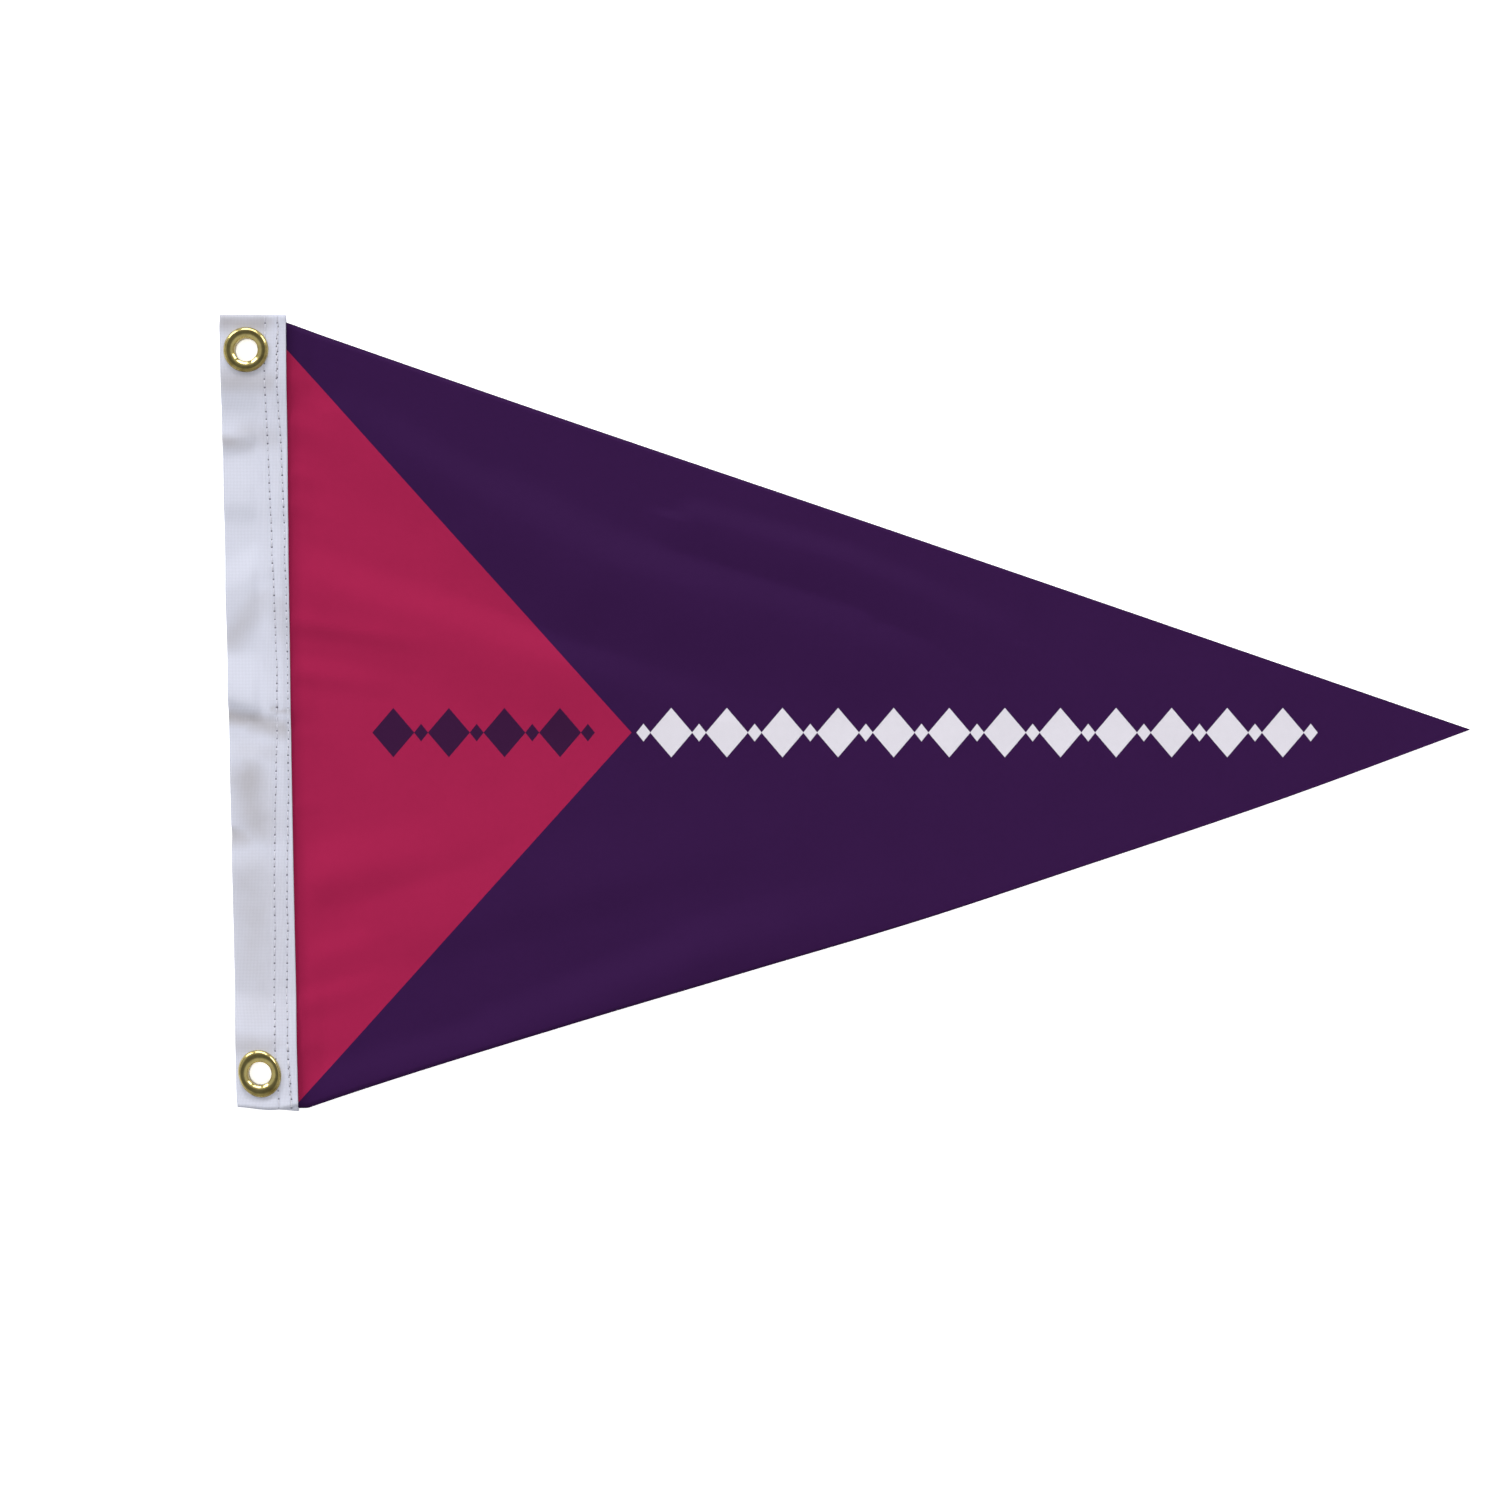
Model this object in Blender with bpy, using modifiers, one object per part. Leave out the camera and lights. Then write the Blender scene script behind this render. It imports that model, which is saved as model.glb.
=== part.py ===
# Pennant flag, 12 by 18 inches: a printed triangular fly sewn into a folded canvas heading with two brass eyelets.
# It lies face up on a surface: +X runs from the heading to the tip, +Y to the head end, +Z up out of the face.
# The origin is under the middle of the flag's box, on the surface. Sizes are in metres.
import bpy
import bmesh
import math
from mathutils import Vector
from mathutils.geometry import delaunay_2d_cdt

MM = 0.001

# The cloths and the space kept between touching pieces
FLY_THICKNESS = 1.0 * MM
CANVAS_THICKNESS = 1.0 * MM
PIECE_GAP = 0.35 * MM

# The heading's outline: its fold edge is straight, its open edge bows out towards the foot
HEAD_END_Y = 152.9 * MM
FOLD_X_HEAD = -240.4 * MM
FOLD_X_FOOT = -233.6 * MM
OPEN_X_HEAD = -214.9 * MM
OPEN_X_LEAN = 1.6 * MM
OPEN_X_BOW = 3.2 * MM

# Where each leaf's foot edge lies, from the fold (0) to the open edge (1); the front leaf's corner is turned up
FRONT_FOOT_Y = ((0.0, -151.2 * MM), (0.68, -152.1 * MM), (1.0, -150.7 * MM))
BACK_FOOT_Y = ((0.0, -151.2 * MM), (0.68, -152.3 * MM), (1.0, -152.9 * MM))

# The heading in section: the leaves lie close at the fold and part where the fly is between them
FOLD_PART = CANVAS_THICKNESS + 0.4 * MM
SEWN_PART = CANVAS_THICKNESS + FLY_THICKNESS + 2 * PIECE_GAP
SEWN_FROM = 0.62
PARTING_FROM = 0.36
HEADING_STATIONS = 66
LEAF_PLACES = (0.0, 0.1, 0.22, 0.36, 0.49, 0.62, 0.81, 1.0)
FOLD_STEPS = 4

# Swells of the canvas between the eyelets: crest, height, and reach towards the head and the foot
SWELLS = (
    {"crest_y": 109.7 * MM, "height": 1.0 * MM, "to_head": 12 * MM, "to_foot": 11 * MM},
    {"crest_y": 82.0 * MM, "height": 0.9 * MM, "to_head": 15 * MM, "to_foot": 12 * MM},
    {"crest_y": 56.5 * MM, "height": 1.3 * MM, "to_head": 15 * MM, "to_foot": 26 * MM},
    {"crest_y": 4.0 * MM, "height": 1.6 * MM, "to_head": 24 * MM, "to_foot": 11 * MM},
    {"crest_y": -19.5 * MM, "height": 0.8 * MM, "to_head": 12 * MM, "to_foot": 30 * MM},
    {"crest_y": -62.0 * MM, "height": 0.5 * MM, "to_head": 12 * MM, "to_foot": 20 * MM},
)
SEWN_SWELL_SHARE = 0.3

# The eyelets: place, and how far each flange was pressed out of round, with the long axis turned from +X
EYELETS = (
    {"name": "head", "x": -230.1 * MM, "y": 139.5 * MM, "oval": 0.0, "long_axis": 0.0},
    {"name": "foot", "x": -224.8 * MM, "y": -138.3 * MM, "oval": 0.068, "long_axis": math.radians(112)},
)
BORE_RADIUS = 4.5 * MM
BRASS_SHEET = 0.5 * MM
FLANGE_RADIUS = 8.65 * MM
FLANGE_RISE = 1.5 * MM
LAND_RADIUS = 6.75 * MM
LAND_WIDTH = 0.7 * MM
LIP_RADIUS = 6.7 * MM
WASHER_BORE = 5.6 * MM
WASHER_RADIUS = 8.2 * MM
WASHER_THICKNESS = 0.6 * MM
CANVAS_HOLE_RADIUS = 5.45 * MM
EYELET_STEPS = 28

# The eyelet's lip and washer hold the canvas off the surface near it
EYELET_LIFT = BRASS_SHEET + WASHER_THICKNESS + 2 * PIECE_GAP
LEVEL_REACH = 10.5 * MM
LIFT_REACH = 32 * MM

# The fly's edges, as points that smooth curves run through
FLY_TOP_EDGE = (
    (-214.8 * MM, 150.2 * MM), (-130.0 * MM, 120.7 * MM), (32.5 * MM, 65.4 * MM), (240.4 * MM, -5.7 * MM),
)
FLY_LOWER_EDGE = (
    (-206.6 * MM, -151.7 * MM), (-192.4 * MM, -146.9 * MM), (-105.9 * MM, -119.7 * MM), (-36.7 * MM, -99.1 * MM),
    (32.5 * MM, -78.5 * MM), (84.4 * MM, -61.3 * MM), (170.9 * MM, -32.0 * MM), (240.4 * MM, -6.9 * MM),
)
FLY_TUCK = 8.9 * MM
FLY_STEP = 7.6 * MM
HOIST_STEP = 4.4 * MM
FLY_LEVEL_REACH = 2.0 * MM
FLY_DESCENT = 11.0 * MM

# Soft folds that lift the fly off the surface: each crest's ends, its height at both, and its reach to each side
FLY_FOLDS = (
    {"start": (-206 * MM, 47 * MM), "end": (-112 * MM, 13 * MM),
     "rise": 2.2 * MM, "end_rise": 0.3 * MM, "reach": 19 * MM},
    {"start": (-206 * MM, -66 * MM), "end": (-142 * MM, -46 * MM),
     "rise": 1.8 * MM, "end_rise": 0.3 * MM, "reach": 15 * MM},
    {"start": (-206 * MM, -97 * MM), "end": (-170 * MM, -84 * MM),
     "rise": 1.1 * MM, "end_rise": 0.2 * MM, "reach": 12 * MM},
    {"start": (-186 * MM, 110 * MM), "end": (-96 * MM, 66 * MM),
     "rise": 0.8 * MM, "end_rise": 2.5 * MM, "reach": 20 * MM},
    {"start": (-96 * MM, 66 * MM), "end": (24 * MM, 19 * MM),
     "rise": 2.5 * MM, "end_rise": 0.3 * MM, "reach": 20 * MM},
    {"start": (-52 * MM, 79 * MM), "end": (62 * MM, 33 * MM),
     "rise": 1.4 * MM, "end_rise": 0.4 * MM, "reach": 13 * MM},
    {"start": (-198 * MM, -142 * MM), "end": (-4 * MM, -80 * MM),
     "rise": 2.0 * MM, "end_rise": 0.3 * MM, "reach": 18 * MM},
)

WHITE_CANVAS = (0.66, 0.65, 0.75, 1.0)
PURPLE_PRINT = (0.037, 0.010, 0.065, 1.0)
BRASS = (0.48, 0.36, 0.11, 1.0)


def clear_scene():
    for obj in list(bpy.context.scene.objects):
        bpy.data.objects.remove(obj, do_unlink=True)


def new_collection(name):
    collection = bpy.data.collections.new(name)
    bpy.context.scene.collection.children.link(collection)
    return collection


def make_material(name, colour, roughness, metallic):
    material = bpy.data.materials.new(name)
    material.use_nodes = True
    shader = material.node_tree.nodes["Principled BSDF"]
    shader.inputs["Base Color"].default_value = colour
    shader.inputs["Roughness"].default_value = roughness
    shader.inputs["Metallic"].default_value = metallic
    return material


def add_object(name, mesh, collection, material=None):
    obj = bpy.data.objects.new(name, mesh)
    collection.objects.link(obj)
    if material:
        mesh.materials.append(material)
        mesh.shade_smooth()
    return obj


def ease(value):
    """A soft step from 0 to 1."""
    value = min(max(value, 0.0), 1.0)
    return value * value * (3 - 2 * value)


def blend(low, high, share):
    return low + (high - low) * share


def curve_through(points, x):
    """The height at x of a smooth curve through points that run in +X."""
    last = len(points) - 1
    slopes = []
    for i in range(last + 1):
        before, after = points[max(i - 1, 0)], points[min(i + 1, last)]
        slopes.append((after[1] - before[1]) / (after[0] - before[0]))
    i = next((i for i in range(last) if x <= points[i + 1][0]), last - 1)
    (x0, y0), (x1, y1) = points[i], points[i + 1]
    width = x1 - x0
    t = min(max((x - x0) / width, 0.0), 1.0)
    bend = (slopes[i] * width * (1 - t) ** 2 * t) - (slopes[i + 1] * width * (1 - t) * t ** 2)
    return blend(y0, y1, ease(t)) + bend


def away_from_eyelets(y):
    """0 beside an eyelet, where the heading is held level, and 1 once it is down on the surface."""
    nearest = min(abs(y - row["y"]) for row in EYELETS)
    return ease((nearest - LEVEL_REACH) / (LIFT_REACH - LEVEL_REACH))


def swell(y):
    """How far the canvas swells off the surface at the fold edge."""
    height = 0.0
    for row in SWELLS:
        offset = y - row["crest_y"]
        reach = row["to_head"] if offset > 0 else row["to_foot"]
        height = max(height, row["height"] * ease(1 - abs(offset) / reach))
    return height * away_from_eyelets(y)


def eyelet_lift(y):
    return EYELET_LIFT * (1 - away_from_eyelets(y))


def sewn_lift(y):
    """How far the sewn part of the heading, with the fly in it, is held off the surface."""
    return eyelet_lift(y) + SEWN_SWELL_SHARE * swell(y)


def open_edge_x(t):
    return OPEN_X_HEAD + OPEN_X_LEAN * t + OPEN_X_BOW * t * t


def hoist_share(y):
    """The share of the way from the head end to the foot end."""
    return (HEAD_END_Y - y) / (HEAD_END_Y - BACK_FOOT_Y[-1][1])


def parting(across, y):
    """Distance between the middles of the two leaves: close at the fold, wide over the fly and under an eyelet."""
    closed = away_from_eyelets(y) * (1 - ease((across - PARTING_FROM) / (SEWN_FROM - PARTING_FROM)))
    return blend(SEWN_PART, FOLD_PART, closed)


def back_leaf_height(across, y):
    share = blend(1.0, SEWN_SWELL_SHARE, ease((across - PARTING_FROM) / (SEWN_FROM - PARTING_FROM)))
    return CANVAS_THICKNESS / 2 + eyelet_lift(y) + share * swell(y)


def heading_point(t, across, foot_edge, front):
    """The middle of a leaf at a share t along the hoist and a share across from the fold to the open edge."""
    y = blend(HEAD_END_Y, curve_through(foot_edge, across), t)
    fold_radius = parting(0, y) / 2
    fold_x = blend(FOLD_X_HEAD, FOLD_X_FOOT, t) + CANVAS_THICKNESS / 2 + fold_radius
    x = blend(fold_x, open_edge_x(t), across)
    z = back_leaf_height(across, y) + (parting(across, y) if front else 0.0)
    return Vector((x, y, z))


def heading_section(t):
    """One section of the strip: along the front leaf to the fold, round it, and back along the back leaf."""
    front = [heading_point(t, across, FRONT_FOOT_Y, True) for across in reversed(LEAF_PLACES)]
    back = [heading_point(t, across, BACK_FOOT_Y, False) for across in LEAF_PLACES]
    top, bottom = front[-1], back[0]
    middle, radius = (top + bottom) / 2, (top.z - bottom.z) / 2
    turn = []
    for step in range(1, FOLD_STEPS):
        angle = math.pi * (0.5 + step / FOLD_STEPS)
        turn.append(middle + Vector((radius * math.cos(angle), 0, radius * math.sin(angle))))
    return front + turn + back


def make_canvas_hole(row, collection):
    """A round cutter through both leaves of the heading."""
    shape = bmesh.new()
    bmesh.ops.create_cone(
        shape, cap_ends=True, segments=EYELET_STEPS, radius1=CANVAS_HOLE_RADIUS, radius2=CANVAS_HOLE_RADIUS,
        depth=20 * MM,
    )
    mesh = bpy.data.meshes.new("canvas_hole_" + row["name"])
    shape.to_mesh(mesh)
    shape.free()
    cutter = add_object(mesh.name, mesh, collection)
    cutter.location = (row["x"], row["y"], 0)
    cutter.hide_render = True
    cutter.display_type = "WIRE"
    return cutter


def add_thickness(obj, thickness, offset):
    solidify = obj.modifiers.new("thickness", "SOLIDIFY")
    solidify.thickness = thickness
    solidify.offset = offset
    solidify.use_even_offset = True
    solidify.use_quality_normals = True


def make_heading(collection, cutters, material):
    """A canvas strip folded over the fly's hoist edge, with a hole through both leaves for each eyelet."""
    shape = bmesh.new()
    rows = []
    for station in range(HEADING_STATIONS + 1):
        rows.append([shape.verts.new(point) for point in heading_section(station / HEADING_STATIONS)])
    for row, next_row in zip(rows, rows[1:]):
        for i in range(len(row) - 1):
            shape.faces.new((row[i], row[i + 1], next_row[i + 1], next_row[i]))
    mesh = bpy.data.meshes.new("heading")
    shape.to_mesh(mesh)
    shape.free()
    heading = add_object("heading", mesh, collection, material)
    add_thickness(heading, CANVAS_THICKNESS, 0)
    for row in EYELETS:
        hole = heading.modifiers.new("hole_" + row["name"], "BOOLEAN")
        hole.operation = "DIFFERENCE"
        hole.solver = "EXACT"
        hole.object = make_canvas_hole(row, cutters)
    return heading


def fly_outline():
    """The fly's edge, counter-clockwise from the foot corner inside the heading."""
    lower, top = [], []
    first_x, tip_x = FLY_LOWER_EDGE[0][0], FLY_LOWER_EDGE[-1][0]
    steps = round((tip_x - first_x) / FLY_STEP)
    for i in range(steps + 1):
        x = blend(first_x, tip_x, i / steps)
        lower.append((x, curve_through(FLY_LOWER_EDGE, x)))
    top_x = FLY_TOP_EDGE[0][0]
    steps = round((tip_x - top_x) / FLY_STEP)
    for i in range(steps + 1):
        x = blend(tip_x, top_x, i / steps)
        top.append((x, curve_through(FLY_TOP_EDGE, x)))
    foot_y, head_y = lower[0][1] - 0.2 * MM, top[-1][1]
    hoist = []
    steps = round((head_y - foot_y) / HOIST_STEP)
    for i in range(steps + 1):
        y = blend(head_y, foot_y, i / steps)
        hoist.append((open_edge_x(hoist_share(y)) - FLY_TUCK, y))
    foot_corner = (open_edge_x(1), foot_y)
    return hoist + [foot_corner] + lower + top


def inside_fly(x, y, margin):
    if x > FLY_LOWER_EDGE[-1][0] - 2 * margin:
        return False
    top = curve_through(FLY_TOP_EDGE, max(x, FLY_TOP_EDGE[0][0]))
    low = curve_through(FLY_LOWER_EDGE, max(x, FLY_LOWER_EDGE[0][0]))
    return low + margin < y < top - margin


def fly_inner_points():
    """Rows beside the hoist at the places where the cloth bends, and an even lattice over the rest."""
    points = []
    offsets = (
        -FLY_TUCK / 2, 0.0, FLY_LEVEL_REACH, FLY_LEVEL_REACH + FLY_DESCENT / 3, FLY_LEVEL_REACH + FLY_DESCENT * 2 / 3,
        FLY_LEVEL_REACH + FLY_DESCENT,
    )
    steps = round(2 * HEAD_END_Y / HOIST_STEP)
    for i in range(1, steps):
        y = blend(HEAD_END_Y, -HEAD_END_Y, i / steps)
        edge = open_edge_x(hoist_share(y))
        for offset in offsets:
            if inside_fly(edge + offset, y, HOIST_STEP * 0.45):
                points.append((edge + offset, y))
    column_step = FLY_STEP * math.sqrt(3) / 2
    columns = round((FLY_LOWER_EDGE[-1][0] - OPEN_X_HEAD) / column_step)
    for column in range(columns):
        x = OPEN_X_HEAD + FLY_LEVEL_REACH + FLY_DESCENT + (column + 1) * column_step
        shift = FLY_STEP / 2 if column % 2 else 0.0
        for i in range(-20, 21):
            y = i * FLY_STEP + shift
            clear_of_hoist = x > open_edge_x(hoist_share(y)) + FLY_LEVEL_REACH + FLY_DESCENT + column_step * 0.6
            if clear_of_hoist and inside_fly(x, y, FLY_STEP * 0.45):
                points.append((x, y))
    return points


def fold_height(x, y):
    """The height of the fly's soft folds above the surface."""
    height = 0.0
    for fold in FLY_FOLDS:
        start, end = Vector(fold["start"]), Vector(fold["end"])
        along = end - start
        share = min(max((Vector((x, y)) - start).dot(along) / along.length_squared, 0.0), 1.0)
        away = (Vector((x, y)) - start - along * share).length / fold["reach"]
        height = max(height, blend(fold["rise"], fold["end_rise"], share) * ease(1 - away))
    return height


def fly_height(x, y):
    """The height of the fly's underside: level inside the heading, then down to the surface."""
    beyond = x - open_edge_x(hoist_share(y))
    down = ease((beyond - FLY_LEVEL_REACH) / FLY_DESCENT)
    held = CANVAS_THICKNESS + PIECE_GAP + sewn_lift(y)
    return blend(held, fold_height(x, y), down)


def make_fly(collection, material):
    """The printed cloth: one triangle with its hoist edge inside the heading."""
    outline = fly_outline()
    count = len(outline)
    edges = [(i, (i + 1) % count) for i in range(count)]
    flat = [Vector(point) for point in outline + fly_inner_points()]
    points, _, faces, *_ = delaunay_2d_cdt(flat, edges, [], 1, 1e-6)
    shape = bmesh.new()
    verts = [shape.verts.new((p.x, p.y, fly_height(p.x, p.y))) for p in points]
    for face in faces:
        shape.faces.new([verts[i] for i in face])
    bmesh.ops.delete(shape, geom=[v for v in shape.verts if not v.link_faces], context="VERTS")
    if sum(face.normal.z for face in shape.faces) < 0:
        bmesh.ops.reverse_faces(shape, faces=shape.faces)
    mesh = bpy.data.meshes.new("fly")
    shape.to_mesh(mesh)
    shape.free()
    fly = add_object("fly", mesh, collection, material)
    add_thickness(fly, FLY_THICKNESS, 1)
    return fly


def turned_mesh(name, profile, steps):
    """A closed ring turned from a profile of (radius, height) that runs down its outer side."""
    line = bmesh.new()
    verts = [line.verts.new((radius, 0, height)) for radius, height in profile]
    for i in range(len(verts)):
        line.edges.new((verts[i], verts[(i + 1) % len(verts)]))
    mesh = bpy.data.meshes.new(name + "_profile")
    line.to_mesh(mesh)
    line.free()
    turned = bpy.data.objects.new(name + "_profile", mesh)
    bpy.context.scene.collection.objects.link(turned)
    screw = turned.modifiers.new("turn", "SCREW")
    screw.steps = steps
    screw.render_steps = steps
    screw.use_merge_vertices = True
    screw.merge_threshold = 0.00001
    bpy.context.view_layer.update()
    depsgraph = bpy.context.evaluated_depsgraph_get()
    result = bpy.data.meshes.new_from_object(turned.evaluated_get(depsgraph))
    result.name = name
    bpy.data.objects.remove(turned, do_unlink=True)
    return result


def eyelet_profile(top_of_cloth):
    """The pressed brass sheet: domed flange, funnel, barrel and the lip rolled out over the washer."""
    rim = top_of_cloth + PIECE_GAP
    crown = rim + FLANGE_RISE
    outer_wall = BORE_RADIUS + BRASS_SHEET
    land_in, land_out = LAND_RADIUS - LAND_WIDTH / 2, LAND_RADIUS + LAND_WIDTH / 2
    outside = [
        (land_out, crown),
        (blend(land_out, FLANGE_RADIUS, 0.62), blend(rim, crown, 0.78)),
        (FLANGE_RADIUS - 0.08 * MM, blend(rim, crown, 0.38)),
        (FLANGE_RADIUS, rim + 0.1 * MM),
        (FLANGE_RADIUS - 0.15 * MM, rim),
    ]
    underside = [
        (FLANGE_RADIUS - BRASS_SHEET, rim),
        (land_out, crown - BRASS_SHEET),
        (land_in, crown - BRASS_SHEET),
        (outer_wall, blend(rim, crown, 0.1)),
        (outer_wall, BRASS_SHEET + 0.45 * MM),
        (outer_wall + 0.35 * MM, BRASS_SHEET),
        (LIP_RADIUS, BRASS_SHEET),
        (LIP_RADIUS, 0.0),
    ]
    inside = [
        (outer_wall, 0.0),
        (BORE_RADIUS + 0.1 * MM, 0.35 * MM),
        (BORE_RADIUS, 0.9 * MM),
        (BORE_RADIUS, blend(rim, crown, -0.2)),
        (blend(BORE_RADIUS, land_in, 0.25), blend(rim, crown, 0.52)),
        (blend(BORE_RADIUS, land_in, 0.6), blend(rim, crown, 0.87)),
        (land_in, crown),
    ]
    return outside + underside + inside


def washer_profile():
    low = BRASS_SHEET + PIECE_GAP
    high = low + WASHER_THICKNESS
    bevel = 0.15 * MM
    return [
        (WASHER_RADIUS - bevel, high), (WASHER_RADIUS, high - bevel), (WASHER_RADIUS, low + bevel),
        (WASHER_RADIUS - bevel, low), (WASHER_BORE, low), (WASHER_BORE, high),
    ]


def press_oval(mesh, oval, long_axis):
    """Pushes the flange out of round, more at its rim and not at all at the bore."""
    for vert in mesh.vertices:
        radius = math.hypot(vert.co.x, vert.co.y)
        angle = math.atan2(vert.co.y, vert.co.x)
        rim_share = ease((radius - LIP_RADIUS) / (FLANGE_RADIUS - LIP_RADIUS))
        stretch = 1 + oval * rim_share * math.cos(2 * (angle - long_axis))
        vert.co.x *= stretch
        vert.co.y *= stretch


def make_eyelets(collection, material):
    top_of_cloth = EYELET_LIFT + CANVAS_THICKNESS + SEWN_PART
    for row in EYELETS:
        mesh = turned_mesh("eyelet_" + row["name"], eyelet_profile(top_of_cloth), EYELET_STEPS)
        press_oval(mesh, row["oval"], row["long_axis"])
        washer = turned_mesh("washer_" + row["name"], washer_profile(), EYELET_STEPS)
        for piece in (mesh, washer):
            obj = add_object(piece.name, piece, collection, material)
            obj.location = (row["x"], row["y"], 0)
            piece.set_sharp_from_angle(angle=math.radians(40))


def main():
    clear_scene()
    flag = new_collection("pennant_flag")
    cutters = new_collection("cutters")
    canvas = make_material("white_canvas", WHITE_CANVAS, 0.85, 0.0)
    print_cloth = make_material("printed_polyester", PURPLE_PRINT, 0.7, 0.0)
    brass = make_material("brass", BRASS, 0.3, 1.0)
    make_fly(flag, print_cloth)
    make_heading(flag, cutters, canvas)
    make_eyelets(flag, brass)


main()
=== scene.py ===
import math

import bmesh
import bpy
import numpy as np
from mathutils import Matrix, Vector, noise


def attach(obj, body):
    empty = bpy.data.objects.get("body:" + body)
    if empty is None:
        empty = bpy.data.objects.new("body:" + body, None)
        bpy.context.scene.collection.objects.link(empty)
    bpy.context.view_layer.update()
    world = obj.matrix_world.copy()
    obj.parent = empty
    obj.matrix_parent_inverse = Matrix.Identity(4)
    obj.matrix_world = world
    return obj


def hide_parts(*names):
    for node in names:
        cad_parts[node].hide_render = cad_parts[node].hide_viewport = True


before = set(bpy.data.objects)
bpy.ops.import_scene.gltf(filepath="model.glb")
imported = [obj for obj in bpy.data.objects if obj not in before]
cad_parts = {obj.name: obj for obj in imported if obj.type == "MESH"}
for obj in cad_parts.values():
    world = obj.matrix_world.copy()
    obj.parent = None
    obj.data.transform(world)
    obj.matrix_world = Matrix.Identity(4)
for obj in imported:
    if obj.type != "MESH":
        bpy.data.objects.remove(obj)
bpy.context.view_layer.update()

MM = 0.001

# The fly is one triangle of thin polyester, dye-printed so that both faces show the same colours.
# It is cut to its outline, and its hoist edge goes inside the heading, which holds it a little off the surface.
# It lies flat but for a few soft folds that start where the heading pulls it.
FLY_THICKNESS = 0.3 * MM
FLY_TUCK = 8.9 * MM
FLY_BED = 1.1 * MM
FLY_LEVEL_REACH = 1.0 * MM
FLY_DESCENT = 11.0 * MM
FLY_COLUMNS = 210
FLY_ROWS = 124
FLY_CROWDING = 1.25
FLY_RIPPLE = 0.16 * MM
FLY_RIPPLE_SPAN = 34 * MM
TIP_X = 240.4 * MM
CORNER_TRIM = 3.0 * MM
CORNER_TRIM_REACH = 1.4 * MM

FLY_TOP_EDGE = (
    (-214.8 * MM, 150.2 * MM), (-130.0 * MM, 120.7 * MM), (32.5 * MM, 65.4 * MM), (TIP_X, -6.1 * MM),
)
FLY_LOWER_EDGE = (
    (-206.6 * MM, -151.7 * MM), (-192.4 * MM, -146.9 * MM), (-105.9 * MM, -119.7 * MM), (-36.7 * MM, -99.1 * MM),
    (32.5 * MM, -78.5 * MM), (84.4 * MM, -61.3 * MM), (170.9 * MM, -32.0 * MM), (TIP_X, -6.35 * MM),
)

# Each fold's crest runs from start to end, and it slopes down over its reach to the head and to the foot
FLY_FOLDS = (
    {"start": (-206, 50), "end": (-118, 20), "rise": 2.0, "end_rise": 2.4, "to_head": 15, "to_foot": 28},
    {"start": (-118, 20), "end": (-60, 2), "rise": 2.4, "end_rise": 0.4, "to_head": 15, "to_foot": 28},
    {"start": (-206, -64), "end": (-142, -50), "rise": 2.0, "end_rise": 0.4, "to_head": 17, "to_foot": 15},
    {"start": (-206, -95), "end": (-168, -83), "rise": 1.2, "end_rise": 0.2, "to_head": 9, "to_foot": 12},
    {"start": (-192, 113), "end": (-133, 77), "rise": 1.0, "end_rise": 2.8, "to_head": 14, "to_foot": 28},
    {"start": (-133, 77), "end": (-96, 57), "rise": 2.8, "end_rise": 3.4, "to_head": 19, "to_foot": 38},
    {"start": (-96, 57), "end": (2, 29), "rise": 3.4, "end_rise": 1.9, "to_head": 18, "to_foot": 36},
    {"start": (2, 29), "end": (36, 19), "rise": 1.9, "end_rise": 0.3, "to_head": 14, "to_foot": 24},
    {"start": (-58, 74), "end": (0, 57), "rise": 1.7, "end_rise": 2.0, "to_head": 10, "to_foot": 22},
    {"start": (0, 57), "end": (58, 31), "rise": 2.0, "end_rise": 0.4, "to_head": 10, "to_foot": 22},
    {"start": (-205, -148), "end": (-133, -126), "rise": 1.9, "end_rise": 2.4, "to_head": 13, "to_foot": 18},
    {"start": (-133, -126), "end": (-56, -95), "rise": 2.4, "end_rise": 2.7, "to_head": 16, "to_foot": 20},
    {"start": (-56, -95), "end": (6, -76), "rise": 2.7, "end_rise": 0.8, "to_head": 19, "to_foot": 18},
    {"start": (-165, -84), "end": (-90, -64), "rise": 0.9, "end_rise": 1.1, "to_head": 28, "to_foot": 16},
    {"start": (-90, -64), "end": (-30, -48), "rise": 1.1, "end_rise": 0.1, "to_head": 26, "to_foot": 16},
)

# Small puckers that the sewing draws up beside the heading
FLY_PUCKERS = (
    {"start": (-213, 129), "end": (-203, 126), "rise": 0.4, "end_rise": 0.05, "to_head": 4, "to_foot": 5},
    {"start": (-213, 112), "end": (-194, 104), "rise": 0.8, "end_rise": 0.05, "to_head": 6, "to_foot": 8},
    {"start": (-213, 92), "end": (-197, 88), "rise": 0.6, "end_rise": 0.05, "to_head": 4, "to_foot": 4},
    {"start": (-213, 80), "end": (-201, 76), "rise": 0.5, "end_rise": 0.05, "to_head": 4, "to_foot": 4},
    {"start": (-213, 35), "end": (-160, 27), "rise": 0.9, "end_rise": 0.15, "to_head": 6, "to_foot": 5},
    {"start": (-213, 16), "end": (-170, 10), "rise": 1.0, "end_rise": 0.15, "to_head": 7, "to_foot": 6},
    {"start": (-213, -8), "end": (-196, -11), "rise": 0.5, "end_rise": 0.05, "to_head": 5, "to_foot": 6},
    {"start": (-212, -36), "end": (-198, -34), "rise": 0.4, "end_rise": 0.05, "to_head": 5, "to_foot": 5},
    {"start": (-211, -112), "end": (-182, -104), "rise": 0.9, "end_rise": 0.1, "to_head": 6, "to_foot": 8},
    {"start": (-210, -128), "end": (-197, -126), "rise": 0.5, "end_rise": 0.05, "to_head": 5, "to_foot": 5},
)

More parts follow.
